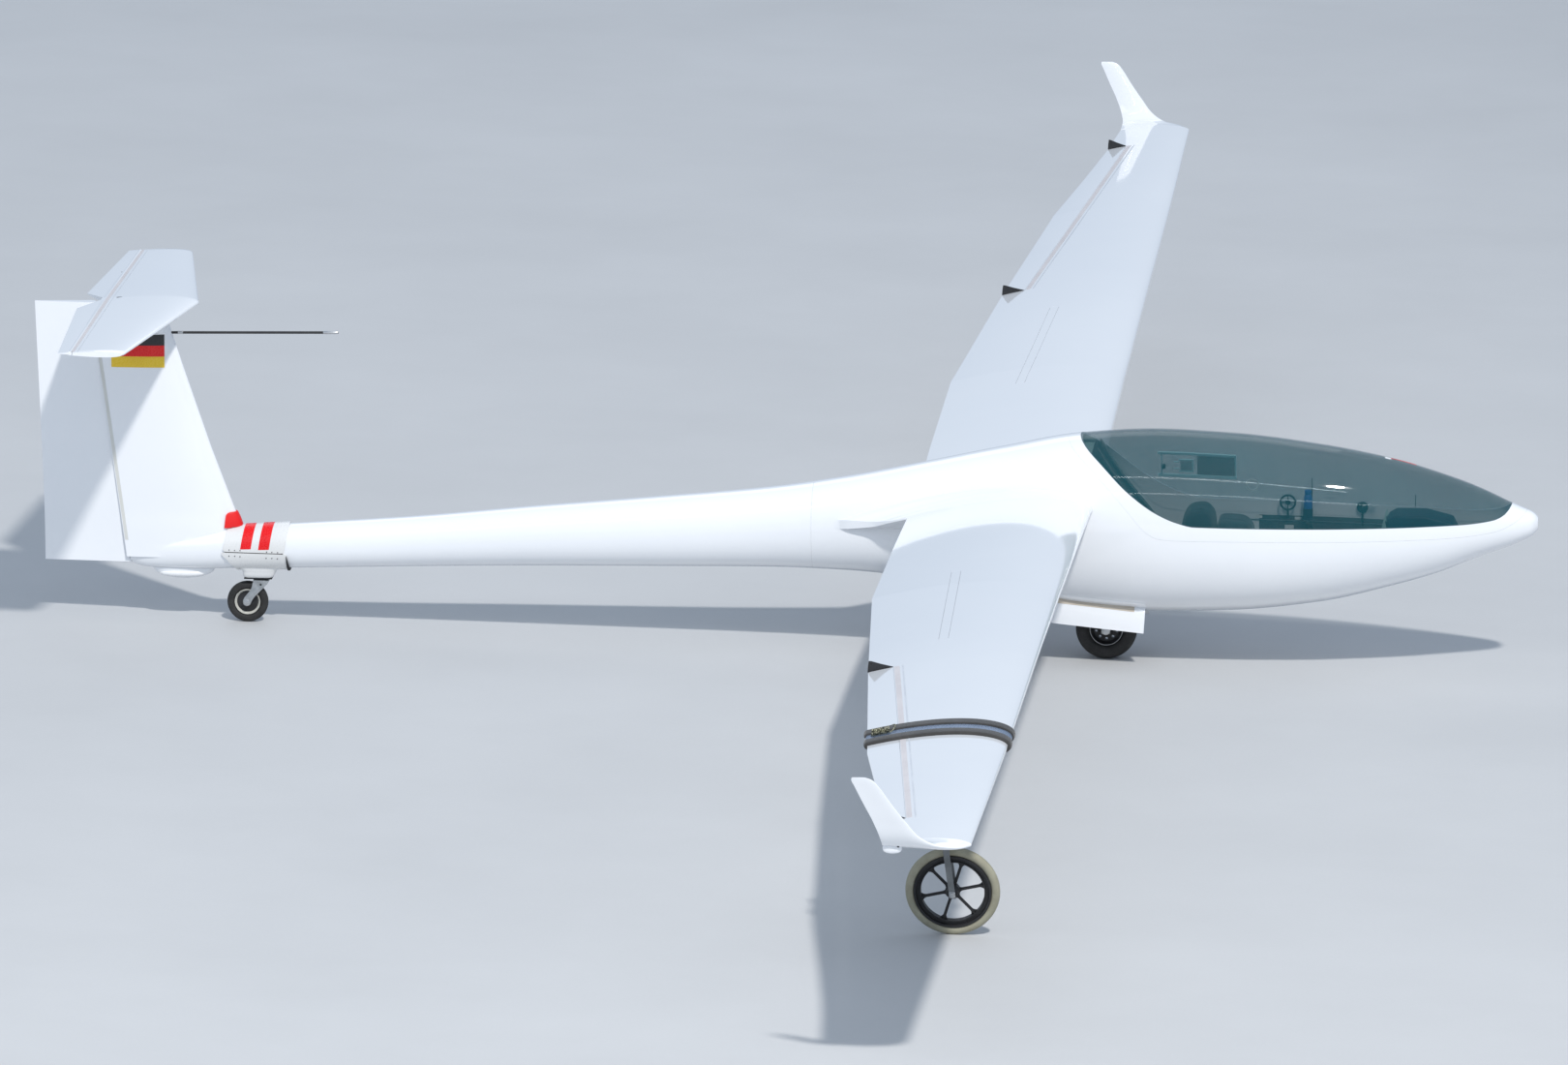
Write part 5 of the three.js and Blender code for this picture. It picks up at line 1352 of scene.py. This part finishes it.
def buildDollyTrim():
    # Each stripe wraps over the boom from one shell edge to the other, leaning forward as it rises
    foot, head = dolly["stripeZ"]
    for index, (low, high, width) in enumerate(dolly["stripes"]):
        start = float(hullAngle(low + width / 2, foot))
        a = np.linspace(start, np.pi - start, 70)[:, None]
        rise = (hullSpot(low + width / 2, a, dolly["lift"])[..., 2] - foot) / (head - foot)
        x = low + (high - low) * rise + width * np.linspace(0, 1, 8)[None]
        spots = toRow(hullSpot(x, a, dolly["lift"] + 0.4))
        trim(openSheet("dolly_stripe_%d" % index, spots, "redPaint", 40, 0.5))
    feet, tops = [], []
    for x, z in dolly["rivets"]:
        a = float(hullAngle(x, z))
        for turn in (a, np.pi - a):
            feet.append(hullSpot(x, turn, dolly["lift"] - 2))
            tops.append(hullSpot(x, turn, dolly["lift"] + 1.5))
    trim(rods("dolly_rivets", feet, tops, dolly["rivet"], "blackPaint", 14))
    # The cap: the fin's own sections, swollen at mid height and most at the leading edge
    low, high = dolly["capZ"]
    zs = np.linspace(low, high, 30)
    swell = dolly["capSwell"] * np.sin(np.pi * ((zs - low) / (high - low)).clip(0, 1)) ** 0.5
    grow = (dolly["capThick"] + swell)[:, None]
    skin = finRings(zs, grow)
    skin[..., 0] += grow * (1 - foil(fin["depth"], 0.0, fin["side"])[0]) ** 2
    cap = closedSkin("fin_cap", toRow(skin), "redPad")
    carve(cap, region(dolly["cap"]), "INTERSECT")
    carve(cap, [finBody(dolly["low"], 900, 30, 0.6), hullPart("boomPart", -2700, -2200, dolly["lift"] + 0.3, 40)])
    settled(cap, "airframe", ["dolly_fin_cap"], 35)


castor = {
    "swivel": (-2376.0, 300.0), "trail": 66.0, "radius": 93.0, "half": 33.0, "sheet": 4.0, "under": 4.4,
    "tyre": (58, 42, 0.78, [(-7, 1.0), (7, 1.0)]), "bore": 6.3, "hole": (-2382, 276), "holeRadius": 5.2,
    # The fork in side view: corners from the swivel's top, from the axle, and from the swivel's top again
    "head": [(30, -10), (29, -0.2), (-40, -0.2), (-46, -40)],
    "foot": [(-19, 14), (-17, -10), (-4, -17), (14, -12), (26, 20)], "brace": [(8, -34)], "plate": (-40, 29),
    # Closed profile of (radius, height), and halves of profiles of (radius, distance along the axle)
    "race": [(8, -4.6), (27, -4.6), (30, -2), (30, 1.5), (26, 3.6), (8, 3.6)],
    "rim": [(48.6, 8), (50, 9), (53, 14), (55, 17), (57.4, 17)],
    "hub": [(6.6, 22), (16, 22), (18, 20), (20, 8), (30, 5), (48.4, 5)],
    # Along the axle: the nut's and the washer's faces, and their radius
    "nut": (33.2, 35.4, 42, 11.5), "washer": (33.2, 35.2, 15),
}


def treaded(outer, inner, width, square, grooves, count=112):
    # A superellipse between the inner and outer radius, its half width along the axle, with round-bottomed
    # grooves pressed into its outer half
    a, middle = circle(count), (outer + inner) / 2
    r = middle + (outer - inner) / 2 * signedPower(np.cos(a), square)
    w = width / 2 * signedPower(np.sin(a), square)
    outside = r > middle
    for place, wide in grooves:
        r = r - outside * 2.2 * np.exp(-((w - place) / wide) ** 2)
    return np.stack([r, w], -1)


def buildCastor():
    turnX, turnZ = pitched(*castor["swivel"])
    axleX, top, r = turnX - castor["trail"], turnZ - castor["under"], castor["radius"]
    half, sheet = castor["half"], castor["sheet"]
    across = lambda x, z, y0, y1: ([(x, y0, z)], [(x, y1, z)])
    corners = [(turnX, top, castor["head"]), (axleX, r, castor["foot"]), (turnX, top, castor["brace"])]
    outline = cutCorners([(x + dx, z + dz) for x, z, moves in corners for dx, dz in moves], 0.2)
    fork = slab("castor_fork", outline, half - sheet, half, 1, "galvanised", level)
    far = slab("far", outline, -half, sheet - half, 1, None, level)
    plate = box("plate", [turnX + dx for dx in castor["plate"]], (-half, half), (top - sheet, top), None, level)
    carve(fork, [far, plate], "UNION")
    carve(fork, [rods("bore", *across(axleX, r, -80, 80), castor["bore"], None, 24, level),
                 rods("hole", *across(*pitched(*castor["hole"]), -80, 80), castor["holeRadius"], None, 20, level)])
    settled(bevel(fork, 0.0016), "dolly_castor", ["dolly_fork"])
    swivelX, swivelZ = castor["swivel"]
    trim(turnedAbout("castor_race", castor["race"], (swivelX, 0, swivelZ), "blackPlastic"))
    plate = fromNode("dolly_swivel_plate", "castor_plate", "blackPlastic", 0.0012, 2)
    settled(plate, "airframe", ["dolly_swivel_plate"], 35)
    dress("dolly_axle", "alloy")
    for side, which in ((-1, "near"), (1, "far")):
        foot, mid, end = ([(axleX, side * reach, r)] for reach in castor["nut"][:3])
        nut = rods("castor_nut_" + which, foot + mid, mid + end, castor["nut"][3], "alloy", 6, level)
        foot, end = ([(axleX, side * reach, r)] for reach in castor["washer"][:2])
        mergeInto(nut, rods("washer", foot, end, castor["washer"][2], None, 30, level))
        trim(bevel(nut, 0.0006, 2), "dolly_castor")
    centre = (axleX, 0, r)
    tyre = turnedSkin("castor_tyre", treaded(r, *castor["tyre"]), centre, "tyreBlack", 160, level)
    settled(tyre, "dolly_wheel", ["dolly_tyre"])
    rim = turnedSkin("castor_rim", mirrored(castor["rim"]), centre, "rimCream", 120, level, 32)
    settled(rim, "dolly_wheel", ["dolly_rim"])
    # The hub's disc is black to paint the shade inside the wheel, behind the cream rim: painted shade
    hub = turnedSkin("castor_hub", mirrored(castor["hub"]), centre, "blackPlastic", 120, level, 32)
    trim(hub, "dolly_wheel")


buildDollyShells()
buildDollyTrim()
buildCastor()
print("stage: tail dolly")

gear = {
    "centre": (1434.0, 0, 138.0), "tyre": (138.0, 76.0, 96.0, 0.6, [(-20, 1.3), (0, 1.3), (20, 1.3)]),
    # Half of the rim's profile: radius, distance along the axle
    "rim": [(75.5, -34.4), (71, -34.4), (68, -31), (65, -16), (60, -11), (36, -12), (31, -15), (27, -27),
            (22, -30), (10.6, -30)],
    "holes": 10, "holeAt": 49.0, "holeRadius": 6.4, "lip": (73.2, 34.6, 1.4),
    # Along the axle: the cap's faces and the nut's end, then both radii
    "cap": (68.4, 71.4, 77.4, 19, 14.5),
    # Rear and front of a door: its section from the hinge to the lower edge, as y and z
    "rear": (1190, [(166, 320), (169, 308), (174, 284), (181, 240), (185, 199)]),
    "front": (1618, [(166, 275), (169, 264), (177, 238), (188, 190), (195, 158)]),
    "lean": -7.0, "crown": 2.5, "doorThick": 5.0, "seal": (1196, 1570, 0.02, 0.25),
    # The flange on the fuselage above a door: station, low and high edge
    "flange": [(1184, 317, 344), (1240, 312, 338), (1616, 270, 300), (1621, 269.5, 299.5)],
}


def buildMainWheel():
    centre = gear["centre"]
    x, z = centre[0], centre[2]
    tyre = turnedSkin("main_wheel_tyre", treaded(*gear["tyre"]), centre, "tyreBlack", 200)
    settled(tyre, "main_wheel", ["main_tyre"])
    rim = turnedSkin("main_wheel_rim", mirrored(gear["rim"]), centre, "blackPlastic", 180, toRow, 30)
    turn = 2 * np.pi * (np.arange(gear["holes"]) + 0.5) / gear["holes"]
    holeX, holeZ = x + gear["holeAt"] * np.cos(turn), z + gear["holeAt"] * np.sin(turn)
    ends = (spotsOf(holeX, reach, holeZ) for reach in (-60, 60))
    carve(rim, rods("holes", *ends, gear["holeRadius"], None, 24))
    settled(rim, "main_wheel", ["main_rim"], 30)
    middle, at, r = gear["lip"]
    for side, which in ((-1, "right"), (1, "left")):
        lip = turnedSkin("rim_lip_" + which, bead(middle, side * at, r, 14), centre, "alloy", 150)
        trim(lip, "main_wheel")
        foot, mid, end = ([(x, side * reach, z)] for reach in gear["cap"][:3])
        cap = rods("axle_cap_" + which, foot, mid, gear["cap"][3], "alloy", 40)
        mergeInto(cap, rods("nut", mid, end, gear["cap"][4], None, 6))
        trim(bevel(cap, 0.0007, 2))
    dress("main_axle", "alloy")
    for side in ("left", "right"):
        leg = fromNode("gear_leg_" + side, "wheel_leg_" + side, "armGrey", 0.0018)
        settled(leg, "airframe", ["gear_leg_" + side], 35)


def doorGrid(x0, x1, u0, u1, rows, columns, lift=0.0):
    # Between the rear and the front section, each a smooth line through its points, with a slight crown
    (rear, rearLine), (front, frontLine) = gear["rear"], gear["front"]
    share = ((np.linspace(x0, x1, rows) - rear) / (front - rear))[:, None]
    u = np.linspace(u0, u1, columns)
    pick = np.clip((u * 399).astype(int), 0, 399)
    lineR, lineF = curveOn(rearLine, 400)[pick], curveOn(frontLine, 400)[pick]
    line = lineR[None] + (lineF - lineR)[None] * share[..., None]
    crown = gear["crown"] * np.sin(np.pi * u)[None] + lift
    x = rear + (front - rear) * share + gear["lean"] * share * u[None]
    return spotsOf(x, line[..., 0] + crown, line[..., 1] + crown * 0.2)


def buildDoors():
    grid = doorGrid(gear["rear"][0], gear["front"][0], 0, 1, 40, 44)
    door = openSheet("door", toRow(grid), "gelcoat", 40, gear["doorThick"])
    bothSides(door, "wheel_door", "airframe", ["gear_door_{}"])
    seal = openSheet("seal", toRow(doorGrid(*gear["seal"], 40, 10, 3.4)), "beigeStrip", 40, 1)
    bothSides(seal, "door_seal", "airframe", [])
    x, v = gridOf(gear["flange"][0][0], gear["flange"][-1][0], 60, 0, 1, 10)
    low, high = np.moveaxis(through(gear["flange"], x), -1, 0)
    z = low + (high - low) * v
    flange = openSheet("flange", toRow(hullSpot(x, hullAngle(x, z), 0.2)), "gelcoat", 40, 1.6)
    bothSides(bevel(flange, 0.0005, 2), "door_flange", "airframe", [])


buildMainWheel()
buildDoors()
print("stage: main wheel and its doors")

tailTrim = {
    "flag": (-3049, -2799, 1264, 1424), "flagBorder": 5, "thick": 0.3, "lift": 0.3,
    # Distances ahead of the hinge line
    "stripAhead": (5, 20), "stripZ": (476, 1545), "tapeAhead": (2.5, 20.5), "lineAhead": (33, 36.5),
    "slot": (-3005, 0, 15, 3.4), "slotLean": 0.25, "hole": (-3083, 609, 3.2),
    "probe": ((-2790, 0, 1424), (-2020, 0, 1435)), "bands": [(-2745, -2722, 6.9), (-2088, -2020.5, 6.9)],
    "skid": ((-2732, 0, 344), (138, 30, 48)), "skidCover": ((-2738, 0, 321), (108, 34, 21)),
}


def finSpot(x, z, lift):
    # A point on the fin's left side, from its section at that height
    lead, trail, half = np.moveaxis(straight(fin["table"], z), -1, 0)
    return spotsOf(x, 10 * half * foilHalf((lead - x) / (lead - trail)) + lift, z)


def finPatch(name, x0, x1, z0, z1, look, lift):
    x, z = gridOf(x0, x1, 24, z0, z1, 16)
    patch = openSheet(name, toRow(finSpot(x, z, lift)), look, 35, tailTrim["thick"])
    bothSides(patch, name, "airframe", [])


def buildFlag():
    x0, x1, z0, z1 = tailTrim["flag"]
    edge = tailTrim["flagBorder"]
    finPatch("flag_border", x0, x1, z0, z1, "whitePaint", 0.25)
    third = (z1 - z0 - 2 * edge) / 3
    for place, colour in enumerate(("gold", "red", "black")):
        low = z0 + edge + third * place
        finPatch("flag_" + colour, x0 + edge, x1 - edge, low, low + third, colour + "Paint", 0.6)


def tailTopAt(x, y):
    lead, trail, depth = np.moveaxis(straight(tail["table"], y), -1, 0)
    return tail["z"] + 5 * depth * foilHalf((lead - x) / (lead - trail)) * (lead - trail)


def tailStrip(name, front, back, look):
    ys = np.linspace(-1122, 1122, 70)[:, None]
    x = tail["hinge"] + front + (back - front) * np.linspace(0, 1, 5)[None]
    spots = spotsOf(x, ys, tailTopAt(x, ys) + tailTrim["lift"])
    trim(openSheet(name, toRow(spots), look, 35, tailTrim["thick"]))


def buildTailTrim():
    near, far = tailTrim["stripAhead"]
    zs = np.linspace(*tailTrim["stripZ"], 60)[:, None]
    x = onLine(fin["hinge"], zs) + near + (far - near) * np.linspace(0, 1, 5)[None]
    strip = openSheet("strip", toRow(finSpot(x, zs, tailTrim["lift"])), "finTape", 35, tailTrim["thick"])
    bothSides(strip, "rudder_tape", "airframe", [])
    tailStrip("elevator_tape", *tailTrim["tapeAhead"], "hingeTape")
    tailStrip("tailplane_line", *tailTrim["lineAhead"], "greyTape")
    x, y, reach, wide = tailTrim["slot"]
    c, s = np.cos(circle(40)), np.sin(circle(40))
    ring = np.stack([x + reach * c, y + wide * s + tailTrim["slotLean"] * reach * c], -1)
    z = float(tailTopAt(x, y))
    trim(slab("tail_slot", ring, z - 6, z + 0.8, 2, "blackPaint"))
    x, y, r = tailTrim["hole"]
    z = float(tailTopAt(x, y))
    trim(rods("elevator_hole", [(x, y, z - 5)], [(x, y, z + 0.5)], r, "blackPaint"), "elevator")
    dress("energy_probe", "blackPlastic")
    start, end = (np.array(v, float) for v in tailTrim["probe"])
    for index, (x0, x1, r) in enumerate(tailTrim["bands"]):
        ends = ([start + (end - start) * (x - start[0]) / (end[0] - start[0])] for x in (x0, x1))
        trim(rods("probe_band_%d" % index, *ends, r, "alloy", 30, edge=0.0006))
    skid = ball("tail_skid", *tailTrim["skid"], "gelcoat", 60, 90)
    carve(skid, hullPart("boomPart", -2960, -2400, 0.5))
    settled(skid, "airframe", ["tail_skid_fairing"], 35)
    trim(ball("skid_cover", *tailTrim["skidCover"], "whitePaint", 50, 80, power=0.9))


buildFlag()
buildTailTrim()
print("stage: flag, tapes, probe and skid")

seats = {
    # CAD node, the piece that stands for it, look, slot, width of its rounded edges in metres
    "shells": [
        ("seat_pan", "seat_shell", "insidePaint", "gelcoat", 0.002),
        ("seat_backrest", "seat_back", "greyTrim", "grey_trim", 0.003),
        ("cockpit_floor", "floor_panel", "greyTrim", "grey_trim", 0.002),
        ("rear_deck", "rear_shelf", "aquaPanel", "aqua_panel", 0.002),
    ],
    # Side outlines of the two pads, x and z, their y from side to side and their seams' shares of that width
    "cushion": [(2110, 368.8), (2100, 600), (2060, 655), (1950, 662), (1930, 640), (1930.2, 381), (2000, 366.5)],
    "cushionSide": (-150, 120), "cushionSeams": (-0.34, 0.34), "cushionFill": 0.7,
    "pack": [(1929.7, 381), (1926, 660), (1880, 712), (1800, 700), (1770, 640), (1770.6, 471.4), (1801, 440.3),
             (1871, 392.3)],
    "packSide": (-160, 150), "packSeams": (-0.5, 0.0, 0.5), "packFill": 0.8,
    "seamDeep": 0.035, "seamWide": 0.02, "crown": 0.02, "slim": 0.985,
    "strapLine": [(1394, 976), (1500, 812), (1640, 634), (1697, 553)], "strapAt": (-92, 92), "strapWidth": 46,
    "strapLift": 4.0,
}


def crownedPad(name, part, look, node):
    # The side outline with its corners rounded, drawn in towards its middle as it nears each end by the fifth
    # root of one minus the fifth power, and pinched at the seams
    ring, (y0, y1) = cutCorners(seats[part], 0.2, 3), seats[part + "Side"]
    middle = ring.mean(0)
    t = np.sin(np.linspace(-np.pi / 2, np.pi / 2, 92)[1:-1])
    share = (1 - np.abs(t) ** 5) ** 0.2
    for seam in seats[part + "Seams"]:
        share = share - seats["seamDeep"] * np.exp(-((t - seam) / seats["seamWide"]) ** 2)
    swell = 1 + seats["crown"] * np.cos(np.pi * t / 2) ** 2
    flat = middle + (ring - middle)[None] * (share * swell * seats["slim"])[:, None, None]
    y = (y0 + y1) / 2 + (y1 - y0) / 2 * t
    pad = closedSkin(name, toRow(spotsOf(flat[..., 0], y[:, None], flat[..., 1])), look, 60)
    settled(pad, "airframe", [node])


def buildSeats():
    for node, name, look, slotName, width in seats["shells"]:
        settled(fromNode(node, name, look, width, 2), "airframe", [node], 35)
    crownedPad("seat_pad", "cushion", "seatCloth", "seat_cushion")
    crownedPad("back_pack", "pack", "webbing", "seat_pack")
    x, z = curveOn(seats["strapLine"], 60).T[:, :, None] + seats["strapLift"]
    across = np.linspace(-0.5, 0.5, 7) * seats["strapWidth"]
    for index, at in enumerate(seats["strapAt"]):
        band = openSheet("shoulder_strap_%d" % index, toRow(spotsOf(x, at + across, z)), "webbing", 40, 2)
        trim(band)


stick = {
    "line": [(2360, 391), (2357, 470), (2352, 545), (2343, 590), (2331, 638)],
    "radius": [(0, 11), (0.5, 11), (0.58, 15), (0.68, 17), (0.76, 15.4), (0.84, 17), (0.95, 16), (1, 9)],
    # The boot: its foot, height, radius at the foot, how much it narrows, and the folds' depth and number
    "boot": (2359.6, 0, 388), "bootHigh": 46, "bootWide": 44, "bootFall": 30, "foldDeep": 3.2, "folds": 5,
    "bootInside": 11.4,
}


def buildStick():
    x, z = curveOn(stick["line"], 80).T
    radius = through(stick["radius"], np.linspace(0, 1, 80))[:, 0]
    grip = tube("stick_grip", spotsOf(x, 0, z), radius, "blackPlastic", 28)
    settled(grip, "airframe", ["control_stick"])
    u, high, inside = np.linspace(0, 1, 40), stick["bootHigh"], stick["bootInside"]
    wide = stick["bootWide"] - stick["bootFall"] * u + stick["foldDeep"] * np.cos(2 * np.pi * u * stick["folds"])
    profile = list(zip(wide, u * high)) + [(inside, high), (inside, 0)]
    trim(turnedAbout("stick_boot", profile, stick["boot"], "blackFoam"))


panel = {
    # The instruments' face as x and z, each dial's y, z and radius
    "face": ((2700, 560), (2690, 668)),
    "dials": [(-46, 634, 30), (46, 634, 30), (-60, 586, 19), (0, 588, 21), (60, 586, 19)],
}


def buildPanel():
    case = fromNode("instrument_pod", "panel_case", "navyPanel", 0.010, 4)
    settled(case, "airframe", ["instrument_pod"], 40)
    # Round instruments on the aft face: bezel, glass and a pale needle on each
    bezels, glasses, needles = [], [], []
    for y, z, r in panel["dials"]:
        x = onLine(panel["face"], z)
        bezels.append(((x + 3, y, z), (x - 5, y, z - 0.5), r))
        glasses.append(((x - 4, y, z), (x - 5.6, y, z - 0.5), r - 4))
        needles.append(((x - 6.2, y - r * 0.1, z - r * 0.2), (x - 6.2, y + r * 0.3, z + r * 0.55), 1.1))
    for name, look, rows in (("dial_bezels", "blackPlastic", bezels), ("dial_glasses", "dialFace", glasses),
                             ("dial_needles", "whitePaint", needles)):
        bars = [rods(name, [start], [end], r, look, 40 if r > 4 else 6) for start, end, r in rows]
        for bar in bars[1:]:
            mergeInto(bars[0], bar)
        trim(bevel(bars[0], 0.0008, 2) if rows is bezels else bars[0])


fittings = {
    "wallY": 262,
    # Places as x and z
    "ventRing": (2231, 668), "paneRing": (2070, 739), "bottleAt": (2322, 660), "knobAt": (2566, 654),
    # Closed profiles of (radius, height) and, for the knob, of (radius, distance along its axle)
    "bottle": [(0.5, 634), (16, 634), (19, 638), (19, 696), (16, 706), (13, 709), (13, 713), (16, 714),
               (16.6, 718), (15.6, 728), (12, 730), (0.5, 730)],
    "holder": [(19.6, 596), (22, 596), (22, 646), (19.6, 646)],
    "knob": [(3, -9), (20, -9), (25, -6), (26, 2), (23, 6), (3, 6)],
    "whips": [((2340, 248, 600), (2340, 238, 786)), ((2805, 214, 560), (2805, 205, 724))],
    # Rear, front, low and high edge. The first row is a dark grey patch on both inner walls below the sills: painted
    # shade, standing in for the deep shade there
    "shadeLiner": (2100, 2990, 462, 600), "rail": (1990, 2660, 574, 579),
    # Plates on the wall: x and z of the middle, width, height
    "plates": [(2097, 590, 34, 14), (2275, 588, 30, 14), (2236, 546, 40, 18), (2727, 580, 26, 14)],
    "arm": [(2801, 214, 552), (2812, 212, 600), (2826, 210, 634), (2842, 211, 622), (2852, 212, 590), (2871, 214, 553)],
    # Side outlines, x and z
    "sideBracket": [(2650, 556), (2675, 655), (2682, 655), (2694, 556)],
    "noseBracket": [(3150, 598), (3168, 652), (3196, 650), (3204, 612)],
}


def buildFittings():
    wall = fittings["wallY"]
    x, z = fittings["ventRing"]
    y = wall - 8
    loop = turnedSkin("vent_ring", bead(33, 0, 4.6, 18), (x, y, z), "blackPlastic", 64)
    mergeInto(loop, rods("post", [(x, y, z - 35)], [(x, wall + 4, z - 72)], 5.0))
    mergeInto(loop, turnedSkin("hub", mirrored([(4, -4), (12, -4)]), (x, y, z), None, 40))
    mergeInto(loop, rods("arms", [(x - 30, y, z), (x, y, z - 30)], [(x + 30, y, z), (x, y, z + 30)], 2.4))
    trim(loop)
    x, z = fittings["paneRing"]
    turn, around = circle(72)[:, None], circle(18)[None]
    wide = 27 + 2.4 * np.cos(around)
    x, z = x + wide * np.cos(turn), z + wide * np.sin(turn)
    halo = loopSkin("pane_ring", toRow(hullSpot(x, hullAngle(x, z), -5.4 + 1.4 * np.sin(around))), "labelWhite")
    trim(halo, "canopy")
    x, z = fittings["bottleAt"]
    body = turnedAbout("blue_bottle", [(r, h - z) for r, h in fittings["bottle"]], (x, wall - 24, z), "bluePlastic")
    trim(body)
    holder = turnedAbout("bottle_holder", fittings["holder"], (x, wall - 24, 0), "navyPanel")
    mergeInto(holder, rods("foot", [(x, wall - 4, 606)], [(x, wall + 12, 606)], 6))
    trim(holder)
    x, z = fittings["knobAt"]
    inner = float(hullSpot(x, hullAngle(x, z), -hull["paneWall"])[1]) - 16
    knob = turnedSkin("trim_knob", fittings["knob"], (x, inner, z), "blackPlastic", 60)
    mergeInto(knob, rods("post", [(x, inner, z - 24)], [(x, inner + 14, z - 94)], 4.6))
    trim(knob)
    trim(rods("whip_rods", *zip(*fittings["whips"]), 1.8, "blackPlastic", 12))
    inside = -hull["wall"]
    # Painted shade: a dark grey patch on each inner wall, where the walls below the sills lie in deep shade
    for side, which in ((-1, "right"), (1, "left")):
        shadeLiner = hullPatch("side_shade_liner_" + which, *fittings["shadeLiner"], side, inside - 0.8, 0.6, "greyTrim", 60, 14)
        trim(shadeLiner)
    for index, (x, z, w, h) in enumerate(fittings["plates"]):
        spans = (x - w / 2, x + w / 2, z - h / 2, z + h / 2)
        trim(hullPatch("wall_plate_%d" % index, *spans, 1, inside - 1.2, 0.8, "labelWhite", 6, 6))
    trim(hullPatch("wall_rail", *fittings["rail"], 1, inside - 3, 3, "alloy", 60, 4))
    trim(tube("canopy_arm", curveOn(fittings["arm"], 60), 5.4, "aquaPanel", 16))
    bracket = slab("side_bracket", cutCorners(fittings["sideBracket"], 0.16), 206, 211, 1, "aquaPanel")
    trim(bevel(bracket, 0.001, 2))
    front = slab("nose_bracket", cutCorners(fittings["noseBracket"], 0.16), 26, 58, 1, "blackPlastic")
    trim(bevel(front, 0.002, 2))


vent = {
    # Rear and front station, lower and upper angle, growth, thickness, look, points each way, slot
    "patches": {
        "vent_rail_top": (1646, 1998, 0.672, 0.704, -7.5, 6, "clearPlastic", 40, 5, "grey_trim"),
        "vent_rail_bottom": (1646, 1998, 0.368, 0.400, -7.5, 6, "clearPlastic", 40, 5, "grey_trim"),
        "vent_end_rear": (1659.5, 1664.5, 0.4, 0.672, -6.4, 3, "clearPlastic", 4, 12, "grey_trim"),
        "vent_end_front": (1991.5, 1996.5, 0.4, 0.672, -6.4, 3, "clearPlastic", 4, 12, "grey_trim"),
        "vent_pane": (1822, 1991, 0.402, 0.670, -6.4, 2.5, "smokePane", 24, 8, "pane"),
        "vent_scoop": (1746, 1802, 0.452, 0.590, -9, 4, "pane", 24, 8, "pane"),
    },
    # The scoop's frame in parts: stations and angles
    "frame": [(1740, 1806, 0.590, 0.606), (1740, 1806, 0.436, 0.452), (1800, 1806, 0.452, 0.590),
              (1716, 1740, 0.470, 0.480), (1716, 1740, 0.560, 0.570)],
    "knob": (1672, 0.505), "knobReach": (-24, -4.5), "knobRadius": 9,
}


def buildVent():
    for name, (*patch, slotName) in vent["patches"].items():
        trim(skinPatch(name, *patch), "canopy")
    parts = [skinPatch("vent_scoop_frame", *part, -10, 5, "clearPlastic", 6, 6) for part in vent["frame"]]
    for part in parts[1:]:
        mergeInto(parts[0], part)
    trim(parts[0], "canopy")
    ends = ([hullSpot(*vent["knob"], reach)] for reach in vent["knobReach"])
    trim(rods("vent_knob", *ends, vent["knobRadius"], "blackPlastic", 28, edge=0.002), "canopy")


yaw = {"tape": (2676, 2704), "tapeHalf": 0.05, "start": 2702, "end": 2816, "thick": 2.2, "lift": 0.9}


def buildYaw():
    tape = skinPatch("yaw_tape", *yaw["tape"], np.pi / 2 - yaw["tapeHalf"], np.pi / 2 + yaw["tapeHalf"], 0.5, 0.3,
                     "whitePaint")
    trim(tape, "canopy")
    t, thick, lift = np.linspace(0, 1, 60), yaw["thick"], yaw["lift"]
    x = yaw["start"] + (yaw["end"] - yaw["start"]) * t
    top = through(hull["table"], x)[..., 0]
    path = np.stack([x, 3.2 * np.sin(2.6 * t) + 4 * t, top + lift + thick / 2 - lift * t * 0.2], -1)
    string = trim(tube("yaw_string", path, thick / 2, "redPad", 10), "canopy")
    cordOf(path)


buildSeats()
buildStick()
buildPanel()
buildFittings()
buildVent()
buildYaw()
print("stage: cockpit, vent and yaw string")
